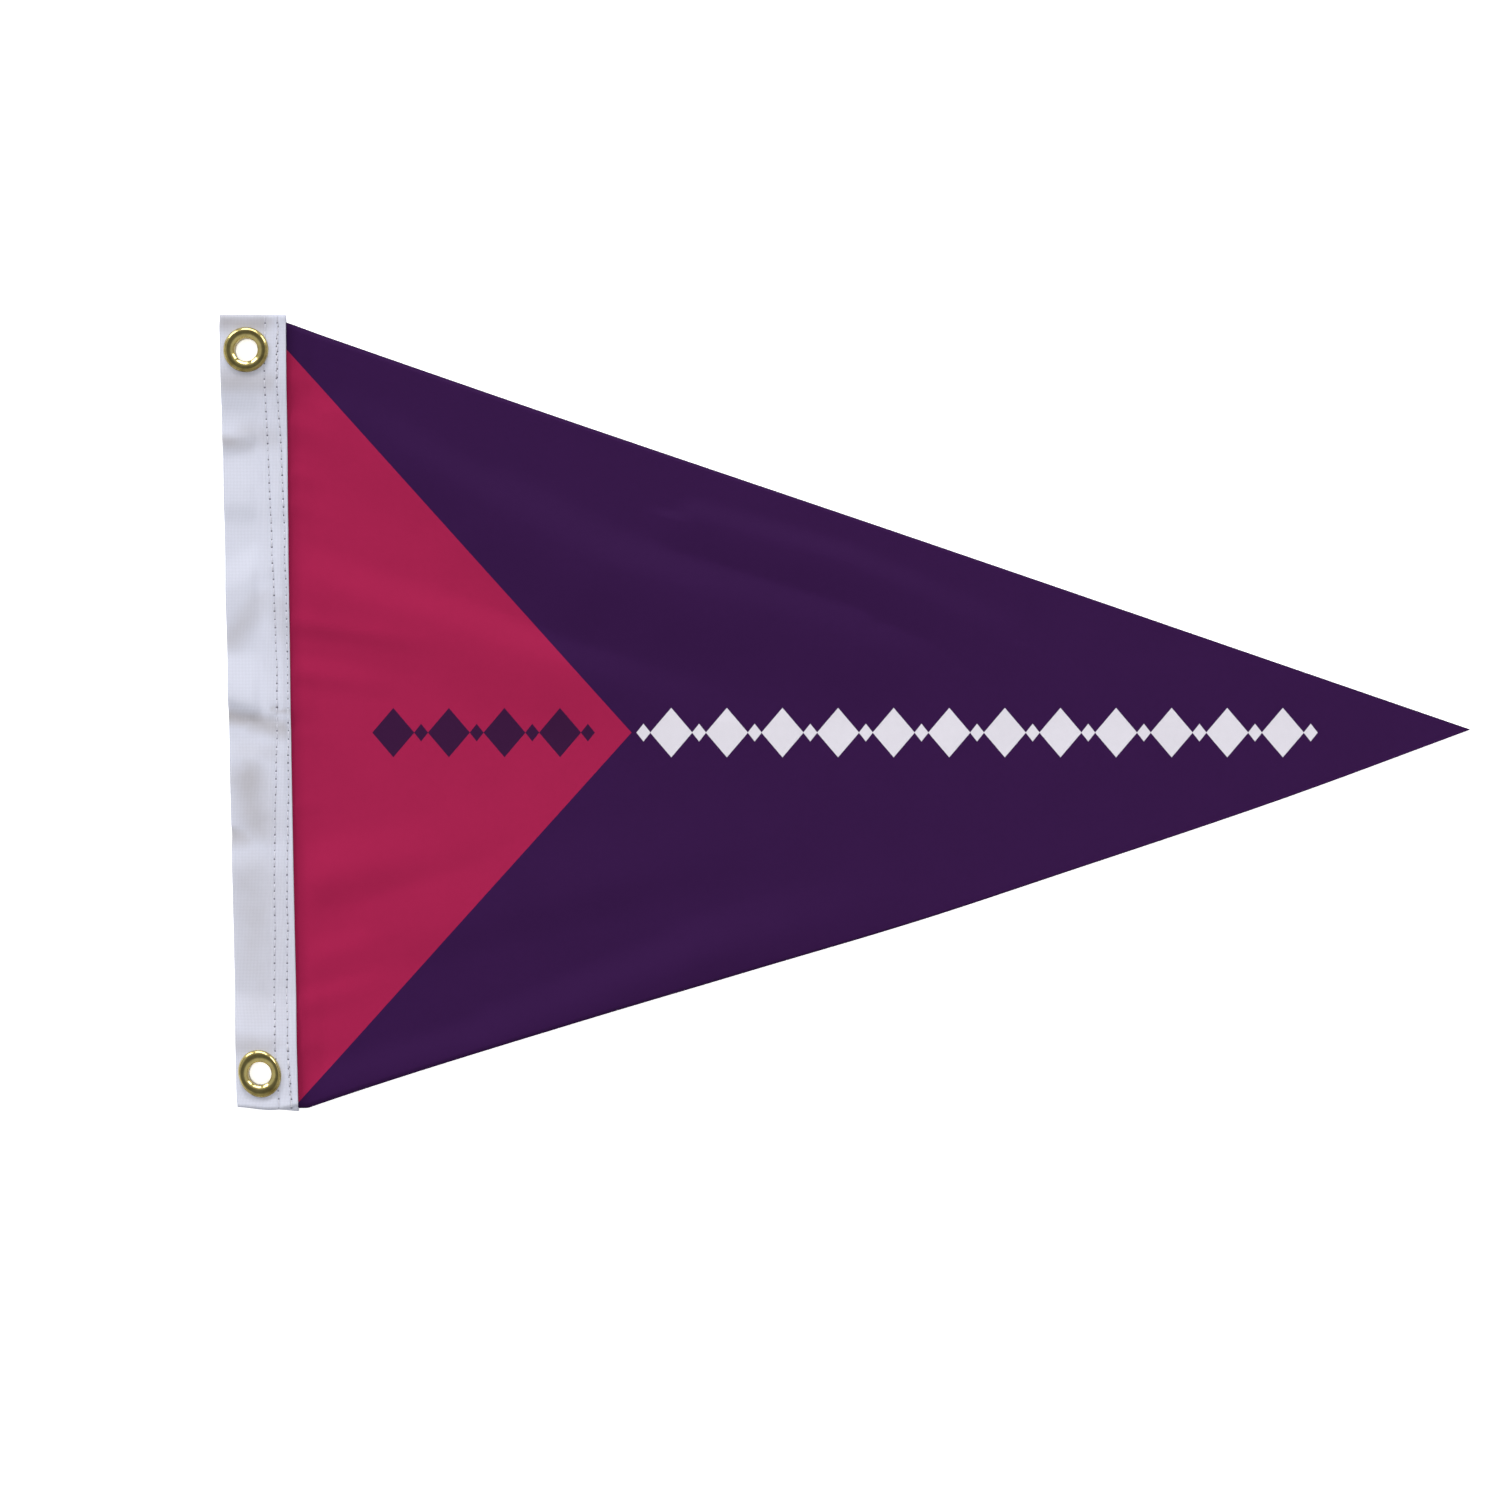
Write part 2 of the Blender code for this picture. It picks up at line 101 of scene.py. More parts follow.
# The print: a crimson hoist triangle, a purple field and a row of plain lozenges along the middle
PRINT_AXIS_Y = -7.4 * MM
TRIANGLE_APEX_X = -82.3 * MM
TRIANGLE_SLOPE = 0.90
PRINT_EDGE = 0.25 * MM
LOZENGE_PITCH = 21.4 * MM
FIRST_LOZENGE_X = -174.0 * MM
LARGE_LOZENGE = (8.1 * MM, 9.5 * MM)
SMALL_LOZENGE = (2.7 * MM, 3.4 * MM)
LOZENGES_START_X = -182.0 * MM
LOZENGES_END_X = 181.7 * MM
APEX_CLEARING = (-98.0 * MM, -79.5 * MM)

PURPLE = (0.0405, 0.0100, 0.069, 1.0)
CRIMSON = (0.415, 0.0175, 0.083, 1.0)
UNPRINTED = (0.84, 0.81, 0.89, 1.0)
DARK_MOTIF = (0.047, 0.0105, 0.052, 1.0)
# Painted shade: the fly's colour is darkened in a strip beside the heading's open edge, where the heading shades it
SEAM_PAINTED_SHADE = 0.2
SEAM_SHADE_REACH = 6.0 * MM

# The heading's open edge, and how its eyelets hold it and the fly's hoist off the surface
HEAD_END_Y = 152.9 * MM
OPEN_X_HEAD = -214.9 * MM
OPEN_X_LEAN = 1.6 * MM
OPEN_X_BOW = 3.2 * MM
EYELET_PLACES = ((-230.1 * MM, 139.5 * MM), (-224.8 * MM, -138.3 * MM))
EYELET_LIFT = 1.8 * MM
LEVEL_REACH = 10.5 * MM
LIFT_REACH = 32 * MM

# Swells of the canvas between the eyelets: where the crest is, how high, how far it reaches and how it leans
SWELLS = (
    {"crest_y": 108.9, "height": 1.4, "to_head": 13, "to_foot": 8, "lean": -5},
    {"crest_y": 81.0, "height": 1.2, "to_head": 20, "to_foot": 9, "lean": 0},
    {"crest_y": 55.0, "height": 2.0, "to_head": 15, "to_foot": 30, "lean": -12},
    {"crest_y": 2.4, "height": 2.5, "to_head": 20, "to_foot": 8, "lean": 6},
    {"crest_y": -18.7, "height": 0.9, "to_head": 9, "to_foot": 33, "lean": 0},
    {"crest_y": -60.0, "height": 0.6, "to_head": 9, "to_foot": 24, "lean": 0},
    {"crest_y": -121.0, "height": 0.9, "to_head": 13, "to_foot": 7, "lean": 3},
)
SEWN_SWELL_SHARE = 0.3


def ease(value):
    value = np.clip(value, 0.0, 1.0)
    return value * value * (3 - 2 * value)


def blend(low, high, share):
    return low + (high - low) * share


def curve_through(points, x):
    """The height at each x of a smooth curve through points that run in +X."""
    xs, ys = np.array(points).T
    slopes = np.gradient(ys, xs)
    x = np.clip(x, xs[0], xs[-1])
    i = np.clip(np.searchsorted(xs, x) - 1, 0, len(xs) - 2)
    width = xs[i + 1] - xs[i]
    t = (x - xs[i]) / width
    bend = slopes[i] * width * (1 - t) ** 2 * t - slopes[i + 1] * width * (1 - t) * t ** 2
    return blend(ys[i], ys[i + 1], ease(t)) + bend


def open_edge_x(y):
    t = (HEAD_END_Y - y) / (2 * HEAD_END_Y)
    return OPEN_X_HEAD + OPEN_X_LEAN * t + OPEN_X_BOW * t * t


def away_from_eyelets(y):
    nearest = np.minimum(*(np.abs(y - place[1]) for place in EYELET_PLACES))
    return ease((nearest - LEVEL_REACH) / (LIFT_REACH - LEVEL_REACH))


def swell(y, across=0.7):
    """How far the canvas swells off the surface, for a share across from the fold to the open edge."""
    height = np.zeros_like(y)
    for row in SWELLS:
        offset = y / MM - row["crest_y"] + row["lean"] * (across - 0.7)
        reach = np.where(offset > 0, row["to_head"], row["to_foot"])
        height = np.maximum(height, row["height"] * MM * ease(1 - np.abs(offset) / reach))
    return height * away_from_eyelets(y)


def sewn_lift(y):
    return EYELET_LIFT * (1 - away_from_eyelets(y)) + SEWN_SWELL_SHARE * swell(y)


def crease_height(rows, x, y):
    """The highest of a table of soft ridges at each place; a negative rise is a trough."""
    height = np.zeros_like(x)
    for row in rows:
        start_x, start_y = (MM * value for value in row["start"])
        along_x, along_y = (MM * (b - a) for a, b in zip(row["start"], row["end"]))
        length = along_x ** 2 + along_y ** 2
        share = np.clip(((x - start_x) * along_x + (y - start_y) * along_y) / length, 0, 1)
        to_head = along_x * (y - start_y) - along_y * (x - start_x) > 0
        reach = np.where(to_head, row["to_head"], row["to_foot"]) * MM
        away = np.hypot(x - start_x - along_x * share, y - start_y - along_y * share) / reach
        ridge = blend(row["rise"], row["end_rise"], share) * MM * ease(1 - away)
        height = np.where(np.abs(ridge) > np.abs(height), ridge, height)
    return height


def ripple(x, y, span, seed):
    """An even, gentle unevenness from 0 to 1, the same on every run."""
    flat = [noise.fractal((a / span, b / span, seed), 0.6, 2.0, 3) for a, b in zip(x.ravel(), y.ravel())]
    return np.clip(np.array(flat).reshape(x.shape) * 0.6 + 0.5, 0, 1)


def grid_mesh(name, points, cloth_place):
    """A sheet from a grid of points, with a UV map called cloth that holds each point's place in metres."""
    rows, columns = points.shape[:2]
    number = np.arange(rows * columns).reshape(rows, columns)
    faces = np.stack((number[:-1, :-1], number[1:, :-1], number[1:, 1:], number[:-1, 1:]), axis=-1).reshape(-1, 4)
    mesh = bpy.data.meshes.new(name)
    mesh.from_pydata(points.reshape(-1, 3).tolist(), [], faces.tolist())
    uv_map = mesh.uv_layers.new(name="cloth")
    uv_map.data.foreach_set("uv", cloth_place.reshape(-1, 2)[faces.ravel()].ravel())
    return mesh


def add_piece(name, mesh, material):
    piece = bpy.data.objects.new(name, mesh)
    bpy.context.scene.collection.objects.link(piece)
    mesh.materials.clear()
    mesh.materials.append(material)
    mesh.shade_smooth()
    return piece


def apply_modifiers(piece):
    """Turns what the modifiers give into the piece's own plain mesh."""
    bpy.context.view_layer.update()
    depsgraph = bpy.context.evaluated_depsgraph_get()
    mesh = bpy.data.meshes.new_from_object(piece.evaluated_get(depsgraph))
    piece.modifiers.clear()
    piece.data = mesh


def thicken(piece, thickness, offset):
    solidify = piece.modifiers.new("thickness", "SOLIDIFY")
    solidify.thickness = thickness
    solidify.offset = offset
    solidify.use_even_offset = True
    solidify.use_quality_normals = True


def new_material(name):
    """A node material, with its tree and its Principled shader."""
    material = bpy.data.materials.new(name)
    material.use_nodes = True
    return material, material.node_tree, material.node_tree.nodes["Principled BSDF"]


def calc(tree, operation, *values):
    """One math node on sockets or plain numbers."""
    node = tree.nodes.new("ShaderNodeMath")
    node.operation = operation
    for socket, value in zip(node.inputs, values):
        if isinstance(value, bpy.types.NodeSocket):
            tree.links.new(value, socket)
        else:
            socket.default_value = value
    return node.outputs[0]


def mix_colour(tree, share, first, second):
    """first where share is 0, second where it is 1; each is a socket or a plain colour."""
    node = tree.nodes.new("ShaderNodeMix")
    node.data_type = "RGBA"
    for socket, value in ((node.inputs[0], share), (node.inputs[6], first), (node.inputs[7], second)):
        if isinstance(value, bpy.types.NodeSocket):
            tree.links.new(value, socket)
        else:
            socket.default_value = value
    return node.outputs[2]


def new_group(name, inputs, outputs):
    """An empty shader group with named sockets, and its input and output nodes."""
    group = bpy.data.node_groups.new(name, "ShaderNodeTree")
    for label, kind, default in inputs:
        socket = group.interface.new_socket(label, in_out="INPUT", socket_type=kind)
        if default is not None:
            socket.default_value = default
    for label, kind in outputs:
        group.interface.new_socket(label, in_out="OUTPUT", socket_type=kind)
    return group, group.nodes.new("NodeGroupInput"), group.nodes.new("NodeGroupOutput")


def place_group(tree, group, vector, **values):
    node = tree.nodes.new("ShaderNodeGroup")
    node.node_tree = group
    tree.links.new(vector, node.inputs["Vector"])
    for label, value in values.items():
        node.inputs[label].default_value = value
    return node


def cloth_coordinates(tree):
    node = tree.nodes.new("ShaderNodeUVMap")
    node.uv_map = "cloth"
    return node.outputs["UV"]


def object_coordinates(tree):
    return tree.nodes.new("ShaderNodeTexCoord").outputs["Object"]


def add_bump(tree, shader, height, strength, distance):
    bump = tree.nodes.new("ShaderNodeBump")
    bump.inputs["Strength"].default_value = strength
    bump.inputs["Distance"].default_value = distance
    tree.links.new(height, bump.inputs["Height"])
    tree.links.new(bump.outputs["Normal"], shader.inputs["Normal"])


def make_weave_group():
    """A plain weave: threads one over, one under. Height is for a bump, Shade darkens the gaps between threads."""
    group, given, result = new_group(
        "plain_weave",
        (("Vector", "NodeSocketVector", None), ("Thread", "NodeSocketFloat", 0.0005)),
        (("Height", "NodeSocketFloat"), ("Shade", "NodeSocketFloat")),
    )
    split = group.nodes.new("ShaderNodeSeparateXYZ")
    group.links.new(given.outputs["Vector"], split.inputs[0])
    turns = calc(group, "DIVIDE", math.pi, given.outputs["Thread"])
    across = calc(group, "SINE", calc(group, "MULTIPLY", split.outputs[0], turns))
    along = calc(group, "SINE", calc(group, "MULTIPLY", split.outputs[1], turns))
    over = calc(group, "MULTIPLY", calc(group, "MULTIPLY", across, along), 0.5)
    threads = []
    for wave, lift in ((across, over), (along, calc(group, "MULTIPLY", over, -1.0))):
        rounded = calc(group, "POWER", calc(group, "ABSOLUTE", wave), 0.7)
        threads.append(calc(group, "MULTIPLY_ADD", rounded, 0.5, lift))
    height = calc(group, "MAXIMUM", *threads)
    group.links.new(height, result.inputs["Height"])
    group.links.new(calc(group, "MULTIPLY_ADD", height, 0.25, 0.67), result.inputs["Shade"])
    return group


def make_mottle_group():
    """Soft unevenness of dye or bleach: a factor near 1 that drifts over Span and flecks at a tenth of it."""
    group, given, result = new_group(
        "mottle",
        (("Vector", "NodeSocketVector", None), ("Span", "NodeSocketFloat", 0.03), ("Depth", "NodeSocketFloat", 0.1)),
        (("Factor", "NodeSocketFloat"),),
    )
    parts = []
    for share in (1.0, 0.1):
        pattern = group.nodes.new("ShaderNodeTexNoise")
        pattern.inputs["Detail"].default_value = 3.0
        group.links.new(given.outputs["Vector"], pattern.inputs["Vector"])
        scale = calc(group, "DIVIDE", 1.0, calc(group, "MULTIPLY", given.outputs["Span"], share))
        group.links.new(scale, pattern.inputs["Scale"])
        parts.append(pattern.outputs["Fac"])
    drift = calc(group, "SUBTRACT", calc(group, "MULTIPLY_ADD", parts[0], 0.65, calc(group, "MULTIPLY", parts[1], 0.35)), 0.5)
    factor = calc(group, "MULTIPLY_ADD", drift, given.outputs["Depth"], 1.0)
    group.links.new(factor, result.inputs["Factor"])
    return group


def lozenge_mask(tree, x, y, phase, size):
    """1 inside a row of lozenges, one at each pitch from the first one, shifted by phase pitches."""
    shifted = calc(tree, "MULTIPLY_ADD", x, 1 / LOZENGE_PITCH, 0.5 - phase - FIRST_LOZENGE_X / LOZENGE_PITCH)
    beside = calc(tree, "ABSOLUTE", calc(tree, "SUBTRACT", calc(tree, "FRACT", shifted), 0.5))
    inside = calc(tree, "SUBTRACT", 1.0, calc(tree, "MULTIPLY", beside, LOZENGE_PITCH / size[0]))
    inside = calc(tree, "SUBTRACT", inside, calc(tree, "DIVIDE", y, size[1]))
    return clamp(tree, calc(tree, "MULTIPLY_ADD", inside, size[0] / PRINT_EDGE, 0.5))


def clamp(tree, value):
    node = tree.nodes.new("ShaderNodeClamp")
    tree.links.new(value, node.inputs[0])
    return node.outputs[0]


def between(tree, x, low, high):
    above = calc(tree, "GREATER_THAN", x, low)
    below = calc(tree, "LESS_THAN", x, high)
    return calc(tree, "MULTIPLY", above, below)


def make_print_material(weave, mottle):
    material, tree, shader = new_material("printed_polyester")
    split = tree.nodes.new("ShaderNodeSeparateXYZ")
    tree.links.new(object_coordinates(tree), split.inputs[0])
    x = split.outputs[0]
    off_axis = calc(tree, "ABSOLUTE", calc(tree, "SUBTRACT", split.outputs[1], PRINT_AXIS_Y))
    edge = calc(tree, "MULTIPLY_ADD", off_axis, -TRIANGLE_SLOPE, TRIANGLE_APEX_X)
    crimson = clamp(tree, calc(tree, "MULTIPLY_ADD", calc(tree, "SUBTRACT", edge, x), 1 / PRINT_EDGE, 0.5))
    large = lozenge_mask(tree, x, off_axis, 0.0, LARGE_LOZENGE)
    small = lozenge_mask(tree, x, off_axis, 0.5, SMALL_LOZENGE)
    clearing = calc(tree, "SUBTRACT", 1.0, between(tree, x, *APEX_CLEARING))
    motif = calc(tree, "MAXIMUM", calc(tree, "MULTIPLY", large, clearing), small)
    motif = calc(tree, "MULTIPLY", motif, between(tree, x, LOZENGES_START_X, LOZENGES_END_X))
    field = mix_colour(tree, crimson, PURPLE, CRIMSON)
    motif_colour = mix_colour(tree, crimson, UNPRINTED, DARK_MOTIF)
    ink = mix_colour(tree, motif, field, motif_colour)
    cloth = cloth_coordinates(tree)
    threads = place_group(tree, weave, cloth, Thread=0.36 * MM)
    dye = place_group(tree, mottle, cloth, Span=26 * MM, Depth=0.16)
    shade = calc(tree, "MULTIPLY", dye.outputs["Factor"], threads.outputs["Shade"])
    # Painted shade of the heading, darkening the fly beside its open edge
    seam_shade = tree.nodes.new("ShaderNodeAttribute")
    seam_shade.attribute_name = "painted_shade_beside_heading"
    shade = calc(tree, "MULTIPLY", shade, calc(tree, "MULTIPLY_ADD", seam_shade.outputs["Fac"], -SEAM_PAINTED_SHADE, 1.0))
    scale = tree.nodes.new("ShaderNodeVectorMath")
    scale.operation = "SCALE"
    tree.links.new(ink, scale.inputs[0])
    tree.links.new(shade, scale.inputs["Scale"])
    tree.links.new(scale.outputs[0], shader.inputs["Base Color"])
    shader.inputs["Roughness"].default_value = 0.6
    shader.inputs["Specular IOR Level"].default_value = 0.03
    shader.inputs["Sheen Weight"].default_value = 0.03
    shader.inputs["Sheen Roughness"].default_value = 0.35
    add_bump(tree, shader, threads.outputs["Height"], 0.35, 0.05 * MM)
    return material


def make_fly(material):
    """The sheet: columns run from the tucked hoist edge to the tip, crowded towards the hoist, and rows fan out."""
    reach = np.linspace(0, 1, FLY_COLUMNS + 1)[:, None] ** FLY_CROWDING
    rise = np.linspace(0, 1, FLY_ROWS + 1)[None, :]
    hoist_y = blend(FLY_LOWER_EDGE[0][1], FLY_TOP_EDGE[0][1], rise)
    x = blend(open_edge_x(hoist_y) - FLY_TUCK, TIP_X, reach)
    trim = CORNER_TRIM * ease((open_edge_x(hoist_y) - x) / CORNER_TRIM_REACH)
    y = blend(curve_through(FLY_LOWER_EDGE, x) + trim, curve_through(FLY_TOP_EDGE, x), rise)
    down = ease((x - open_edge_x(y) - FLY_LEVEL_REACH) / FLY_DESCENT)
    folds = crease_height(FLY_FOLDS, x, y) + FLY_RIPPLE * ripple(x, y, FLY_RIPPLE_SPAN, 3.0)
    puckers = crease_height(FLY_PUCKERS, x, y) * ease((x - open_edge_x(y)) / (2 * MM))
    z = blend(FLY_BED + sewn_lift(y), folds, down) + puckers
    mesh = grid_mesh("fly_cloth", np.stack((x, y, z), axis=-1), np.stack((x, y), axis=-1))
    # How much painted shade from the heading falls on each point, fading out across the strip
    seam_shade = mesh.attributes.new("painted_shade_beside_heading", "FLOAT", "POINT")
    seam_shade.data.foreach_set("value", ease(1 - (x - open_edge_x(y)) / SEAM_SHADE_REACH).ravel())
    fly = add_piece("fly_cloth", mesh, material)
    thicken(fly, FLY_THICKNESS, 1)
    apply_modifiers(fly)
    return fly


weave = make_weave_group()
mottle = make_mottle_group()
fly = make_fly(make_print_material(weave, mottle))
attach(fly, "root")
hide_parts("fly")


# The heading is one strip of white polyester canvas, folded in half round the fly's hoist edge.
# Both long edges are turned in, so that no raw edge shows, and two rows of stitches go through every layer.
# Handling has left soft dents across it, deepest along the fold.
CANVAS = 0.44 * MM
LAYER_GAP = 0.06 * MM
FOLD_X_HEAD = -240.7 * MM
FOLD_X_FOOT = -233.9 * MM
FRONT_FOOT_Y = ((0.0, -151.2 * MM), (0.68, -152.1 * MM), (1.0, -150.7 * MM))
BACK_FOOT_Y = ((0.0, -151.2 * MM), (0.68, -152.3 * MM), (1.0, -152.9 * MM))
HEM_FROM = 0.635
SEWN_STACK = 3.1 * MM
FOLD_STACK = 1.75 * MM
EYELET_STACK = 3.68 * MM
OPEN_EDGE_PINCH = 0.45 * MM
END_FLARE = 0.5 * MM
END_CLOSING = 1.3 * MM
FLANGE_EDGE = 9.0 * MM
STATIONS = 210
CANVAS_RIPPLE = 0.14 * MM
CANVAS_RIPPLE_SPAN = 9 * MM
CANVAS_HOLE_RADIUS = 5.3 * MM

# Where the two rows of stitches run, from head to foot: the place along the hoist and the x of each row
STITCH_ROWS = (
    {"y": 149.6, "inner": -222.9, "outer": -218.2}, {"y": 129.6, "inner": -223.1, "outer": -218.5},
    {"y": 101.2, "inner": -222.0, "outer": -217.0}, {"y": 74.3, "inner": -220.8, "outer": -215.9},
    {"y": 47.4, "inner": -219.7, "outer": -215.1}, {"y": 16.6, "inner": -218.5, "outer": -214.5},
    {"y": -10.3, "inner": -218.5, "outer": -214.2}, {"y": -33.3, "inner": -219.1, "outer": -214.2},
    {"y": -60.3, "inner": -219.5, "outer": -214.7}, {"y": -87.2, "inner": -219.3, "outer": -214.5},
    {"y": -110.2, "inner": -219.5, "outer": -214.7}, {"y": -133.3, "inner": -218.7, "outer": -213.8},
    {"y": -148.7, "inner": -217.4, "outer": -212.6},
)
STITCH_PINCH = 0.28 * MM
STITCH_PINCH_REACH = 1.7 * MM

# Sharper creases of the front leaf; a negative rise is a trough
FRONT_CREASES = (
    {"start": (-220.5, 2.4), "end": (-214.6, 1.2), "rise": -0.3, "end_rise": -0.5, "to_head": 1.0, "to_foot": 1.8},
    {"start": (-221.0, -2.4), "end": (-217.0, -2.0), "rise": -0.35, "end_rise": -0.2, "to_head": 0.8, "to_foot": 1.8},
    {"start": (-228.0, 51.4), "end": (-221.0, 51.0), "rise": -0.15, "end_rise": -0.2, "to_head": 1.2, "to_foot": 2.0},
    {"start": (-237.0, 104.2), "end": (-224.0, 103.4), "rise": -0.15, "end_rise": -0.1, "to_head": 2.0, "to_foot": 4.0},
    {"start": (-225.0, -41.0), "end": (-220.5, -41.4), "rise": -0.2, "end_rise": -0.2, "to_head": 1.2, "to_foot": 2.0},
    {"start": (-236.5, -46.0), "end": (-228.0, -44.0), "rise": -0.4, "end_rise": -0.1, "to_head": 3.0, "to_foot": 7.0},
    {"start": (-231.0, -124.5), "end": (-226.5, -124.8), "rise": -0.2, "end_rise": -0.2, "to_head": 1.0, "to_foot": 2.2},
    {"start": (-217.4, -146.5), "end": (-217.6, -152.5), "rise": -0.15, "end_rise": -0.45, "to_head": 1.5, "to_foot": 1.5},
)
CANVAS_WHITE = (0.745, 0.763, 0.882, 1.0)
# The colour of the painted crease and flange shade, mixed with soil
CANVAS_SHADED_AND_SOILED = (0.500, 0.480, 0.510, 1.0)

# Greyer, warmer patches painted into the canvas colour, partly shade in creases and beside the eyelet flanges and
# partly soil from hands; rise is how deep the colour goes
SHADE_AND_SOIL_MARKS = (
    {"start": (-238, 149.5), "end": (-224, 149.5), "rise": 0.8, "end_rise": 0.7, "to_head": 7, "to_foot": 6},
    {"start": (-238, 127.5), "end": (-223, 127), "rise": 0.6, "end_rise": 0.6, "to_head": 8, "to_foot": 7},
    {"start": (-240, 105), "end": (-230, 104), "rise": 0.6, "end_rise": 0.35, "to_head": 3.5, "to_foot": 6},
    {"start": (-230, 108), "end": (-222, 106), "rise": 0.3, "end_rise": 0.25, "to_head": 7, "to_foot": 8},
    {"start": (-226, 43), "end": (-236, 29), "rise": 0.3, "end_rise": 0.4, "to_head": 9, "to_foot": 7},
    {"start": (-218, 42), "end": (-216, 30), "rise": 0.25, "end_rise": 0.2, "to_head": 5, "to_foot": 6},
    {"start": (-238, -1.0), "end": (-227, -2.5), "rise": 0.9, "end_rise": 0.95, "to_head": 4.2, "to_foot": 5},
    {"start": (-227, -2.5), "end": (-217, -5.5), "rise": 0.95, "end_rise": 0.7, "to_head": 4.5, "to_foot": 7},
    {"start": (-232, -14), "end": (-221, -15), "rise": 0.2, "end_rise": 0.25, "to_head": 6, "to_foot": 8},
    {"start": (-220.5, 1.6), "end": (-214, 0.8), "rise": 0.5, "end_rise": 0.6, "to_head": 1.2, "to_foot": 2},
    {"start": (-230, -26), "end": (-226, -42), "rise": 0.65, "end_rise": 0.6, "to_head": 14, "to_foot": 12},
    {"start": (-239, -46), "end": (-232, -47), "rise": 1.0, "end_rise": 0.6, "to_head": 5, "to_foot": 8},
    {"start": (-228, -66), "end": (-225, -112), "rise": 0.45, "end_rise": 0.35, "to_head": 20, "to_foot": 18},
    {"start": (-236, -128), "end": (-222, -128), "rise": 0.55, "end_rise": 0.5, "to_head": 9, "to_foot": 6},
)


def stitch_x(row, y):
    places = [place["y"] * MM for place in reversed(STITCH_ROWS)]
    return np.interp(y, places, [place[row] * MM for place in reversed(STITCH_ROWS)])


def row_pinch(x, y):
    """How far the two rows of stitches draw the canvas in."""
    near = [ease(1 - np.abs(x - stitch_x(row, y)) / STITCH_PINCH_REACH) for row in ("inner", "outer")]
    return STITCH_PINCH * np.maximum(*near)


def stack_height(across, y):
    """The thickness of the heading with all its layers."""
    sewn = ease((across - 0.5) / (HEM_FROM - 0.5) * 0.9)
    plain = blend(FOLD_STACK, SEWN_STACK, sewn)
    edge = OPEN_EDGE_PINCH * ease((across - 0.88) / 0.12)
    return blend(EYELET_STACK, plain, away_from_eyelets(y)) - edge


def past_eyelets(y):
    """0 up to each eyelet's flange and 1 at the ends of the heading."""
    past = np.maximum(y - EYELET_PLACES[0][1], EYELET_PLACES[1][1] - y) - FLANGE_EDGE
    return ease(past / (HEAD_END_Y - EYELET_PLACES[0][1] - FLANGE_EDGE))


def leaf_rest(across, y):
    share = blend(1.0, SEWN_SWELL_SHARE, ease((across - 0.36) / 0.26))
    return EYELET_LIFT * (1 - away_from_eyelets(y)) + share * swell(y, across)


def canvas_layer(t, across, front, hem):
    """The middle of one layer, along shares t from head to foot and across from the fold to the open edge."""
    foot_y = curve_through(FRONT_FOOT_Y if front else BACK_FOOT_Y, across)
    y = blend(HEAD_END_Y, foot_y, t)
    fold_x = blend(FOLD_X_HEAD, FOLD_X_FOOT, t) + stack_height(np.zeros_like(y), y) / 2
    x = blend(fold_x, open_edge_x(y) - CANVAS, across)
    low = leaf_rest(across, y) + CANVAS / 2
    if front:
        z = low - CANVAS + stack_height(across, y) - row_pinch(x, y) + END_FLARE * past_eyelets(y)
        z = z + crease_height(FRONT_CREASES, x, y) * away_from_eyelets_or_foot(y)
        z = z + CANVAS_RIPPLE * (ripple(x, y, CANVAS_RIPPLE_SPAN, 7.0) - 0.5) * away_from_eyelets(y)
    else:
        z = low + row_pinch(x, y) + END_CLOSING * past_eyelets(y) * (1 - ease((across - 0.3) / 0.3))
    if hem:
        z = z + (-1 if front else 1) * (CANVAS + LAYER_GAP)
    return np.stack((x, y, z), axis=-1)


def away_from_eyelets_or_foot(y):
    return np.maximum(away_from_eyelets(y), ease((-146 * MM - y) / (2 * MM)))


def half_turn(first, last, steps, side):
    """Points round a fold from first to last, bulging in X to the given side."""
    middle, radius = (first + last) / 2, (first[..., 2:] - last[..., 2:]) / 2
    points = []
    for step in range(1, steps):
        angle = math.pi * (0.5 - step / steps)
        bulge = np.abs(radius) * math.cos(angle) * side
        height = radius * math.sin(angle)
        points.append(middle + np.concatenate((bulge, np.zeros_like(radius), height), axis=-1))
    return points


def make_canvas_material(weave, mottle):
    material, tree, shader = new_material("white_canvas")
    cloth = cloth_coordinates(tree)
    threads = place_group(tree, weave, cloth, Thread=0.55 * MM)
    bleach = place_group(tree, mottle, cloth, Span=14 * MM, Depth=0.10)
    blotches = tree.nodes.new("ShaderNodeTexNoise")
    blotches.inputs["Scale"].default_value = 110.0
    blotches.inputs["Detail"].default_value = 3.0
    tree.links.new(object_coordinates(tree), blotches.inputs["Vector"])
    # Painted shade of creases and flanges, mixed with soil, read from the heading's own attribute
    marks = tree.nodes.new("ShaderNodeAttribute")
    marks.attribute_name = "shade_and_soil"
    uneven = calc(tree, "MULTIPLY_ADD", blotches.outputs["Fac"], 0.9, 0.55)
    shaded_and_soiled = clamp(tree, calc(tree, "MULTIPLY", marks.outputs["Fac"], uneven))
    colour = mix_colour(tree, shaded_and_soiled, CANVAS_WHITE, CANVAS_SHADED_AND_SOILED)
    scale = tree.nodes.new("ShaderNodeVectorMath")
    scale.operation = "SCALE"
    tree.links.new(colour, scale.inputs[0])
    tree.links.new(calc(tree, "MULTIPLY", bleach.outputs["Factor"], threads.outputs["Shade"]), scale.inputs["Scale"])
    tree.links.new(scale.outputs[0], shader.inputs["Base Color"])
    shader.inputs["Roughness"].default_value = 0.8
    shader.inputs["Specular IOR Level"].default_value = 0.15
    shader.inputs["Sheen Weight"].default_value = 0.05
    shader.inputs["Sheen Roughness"].default_value = 0.5
    add_bump(tree, shader, threads.outputs["Height"], 0.5, 0.08 * MM)
    return material


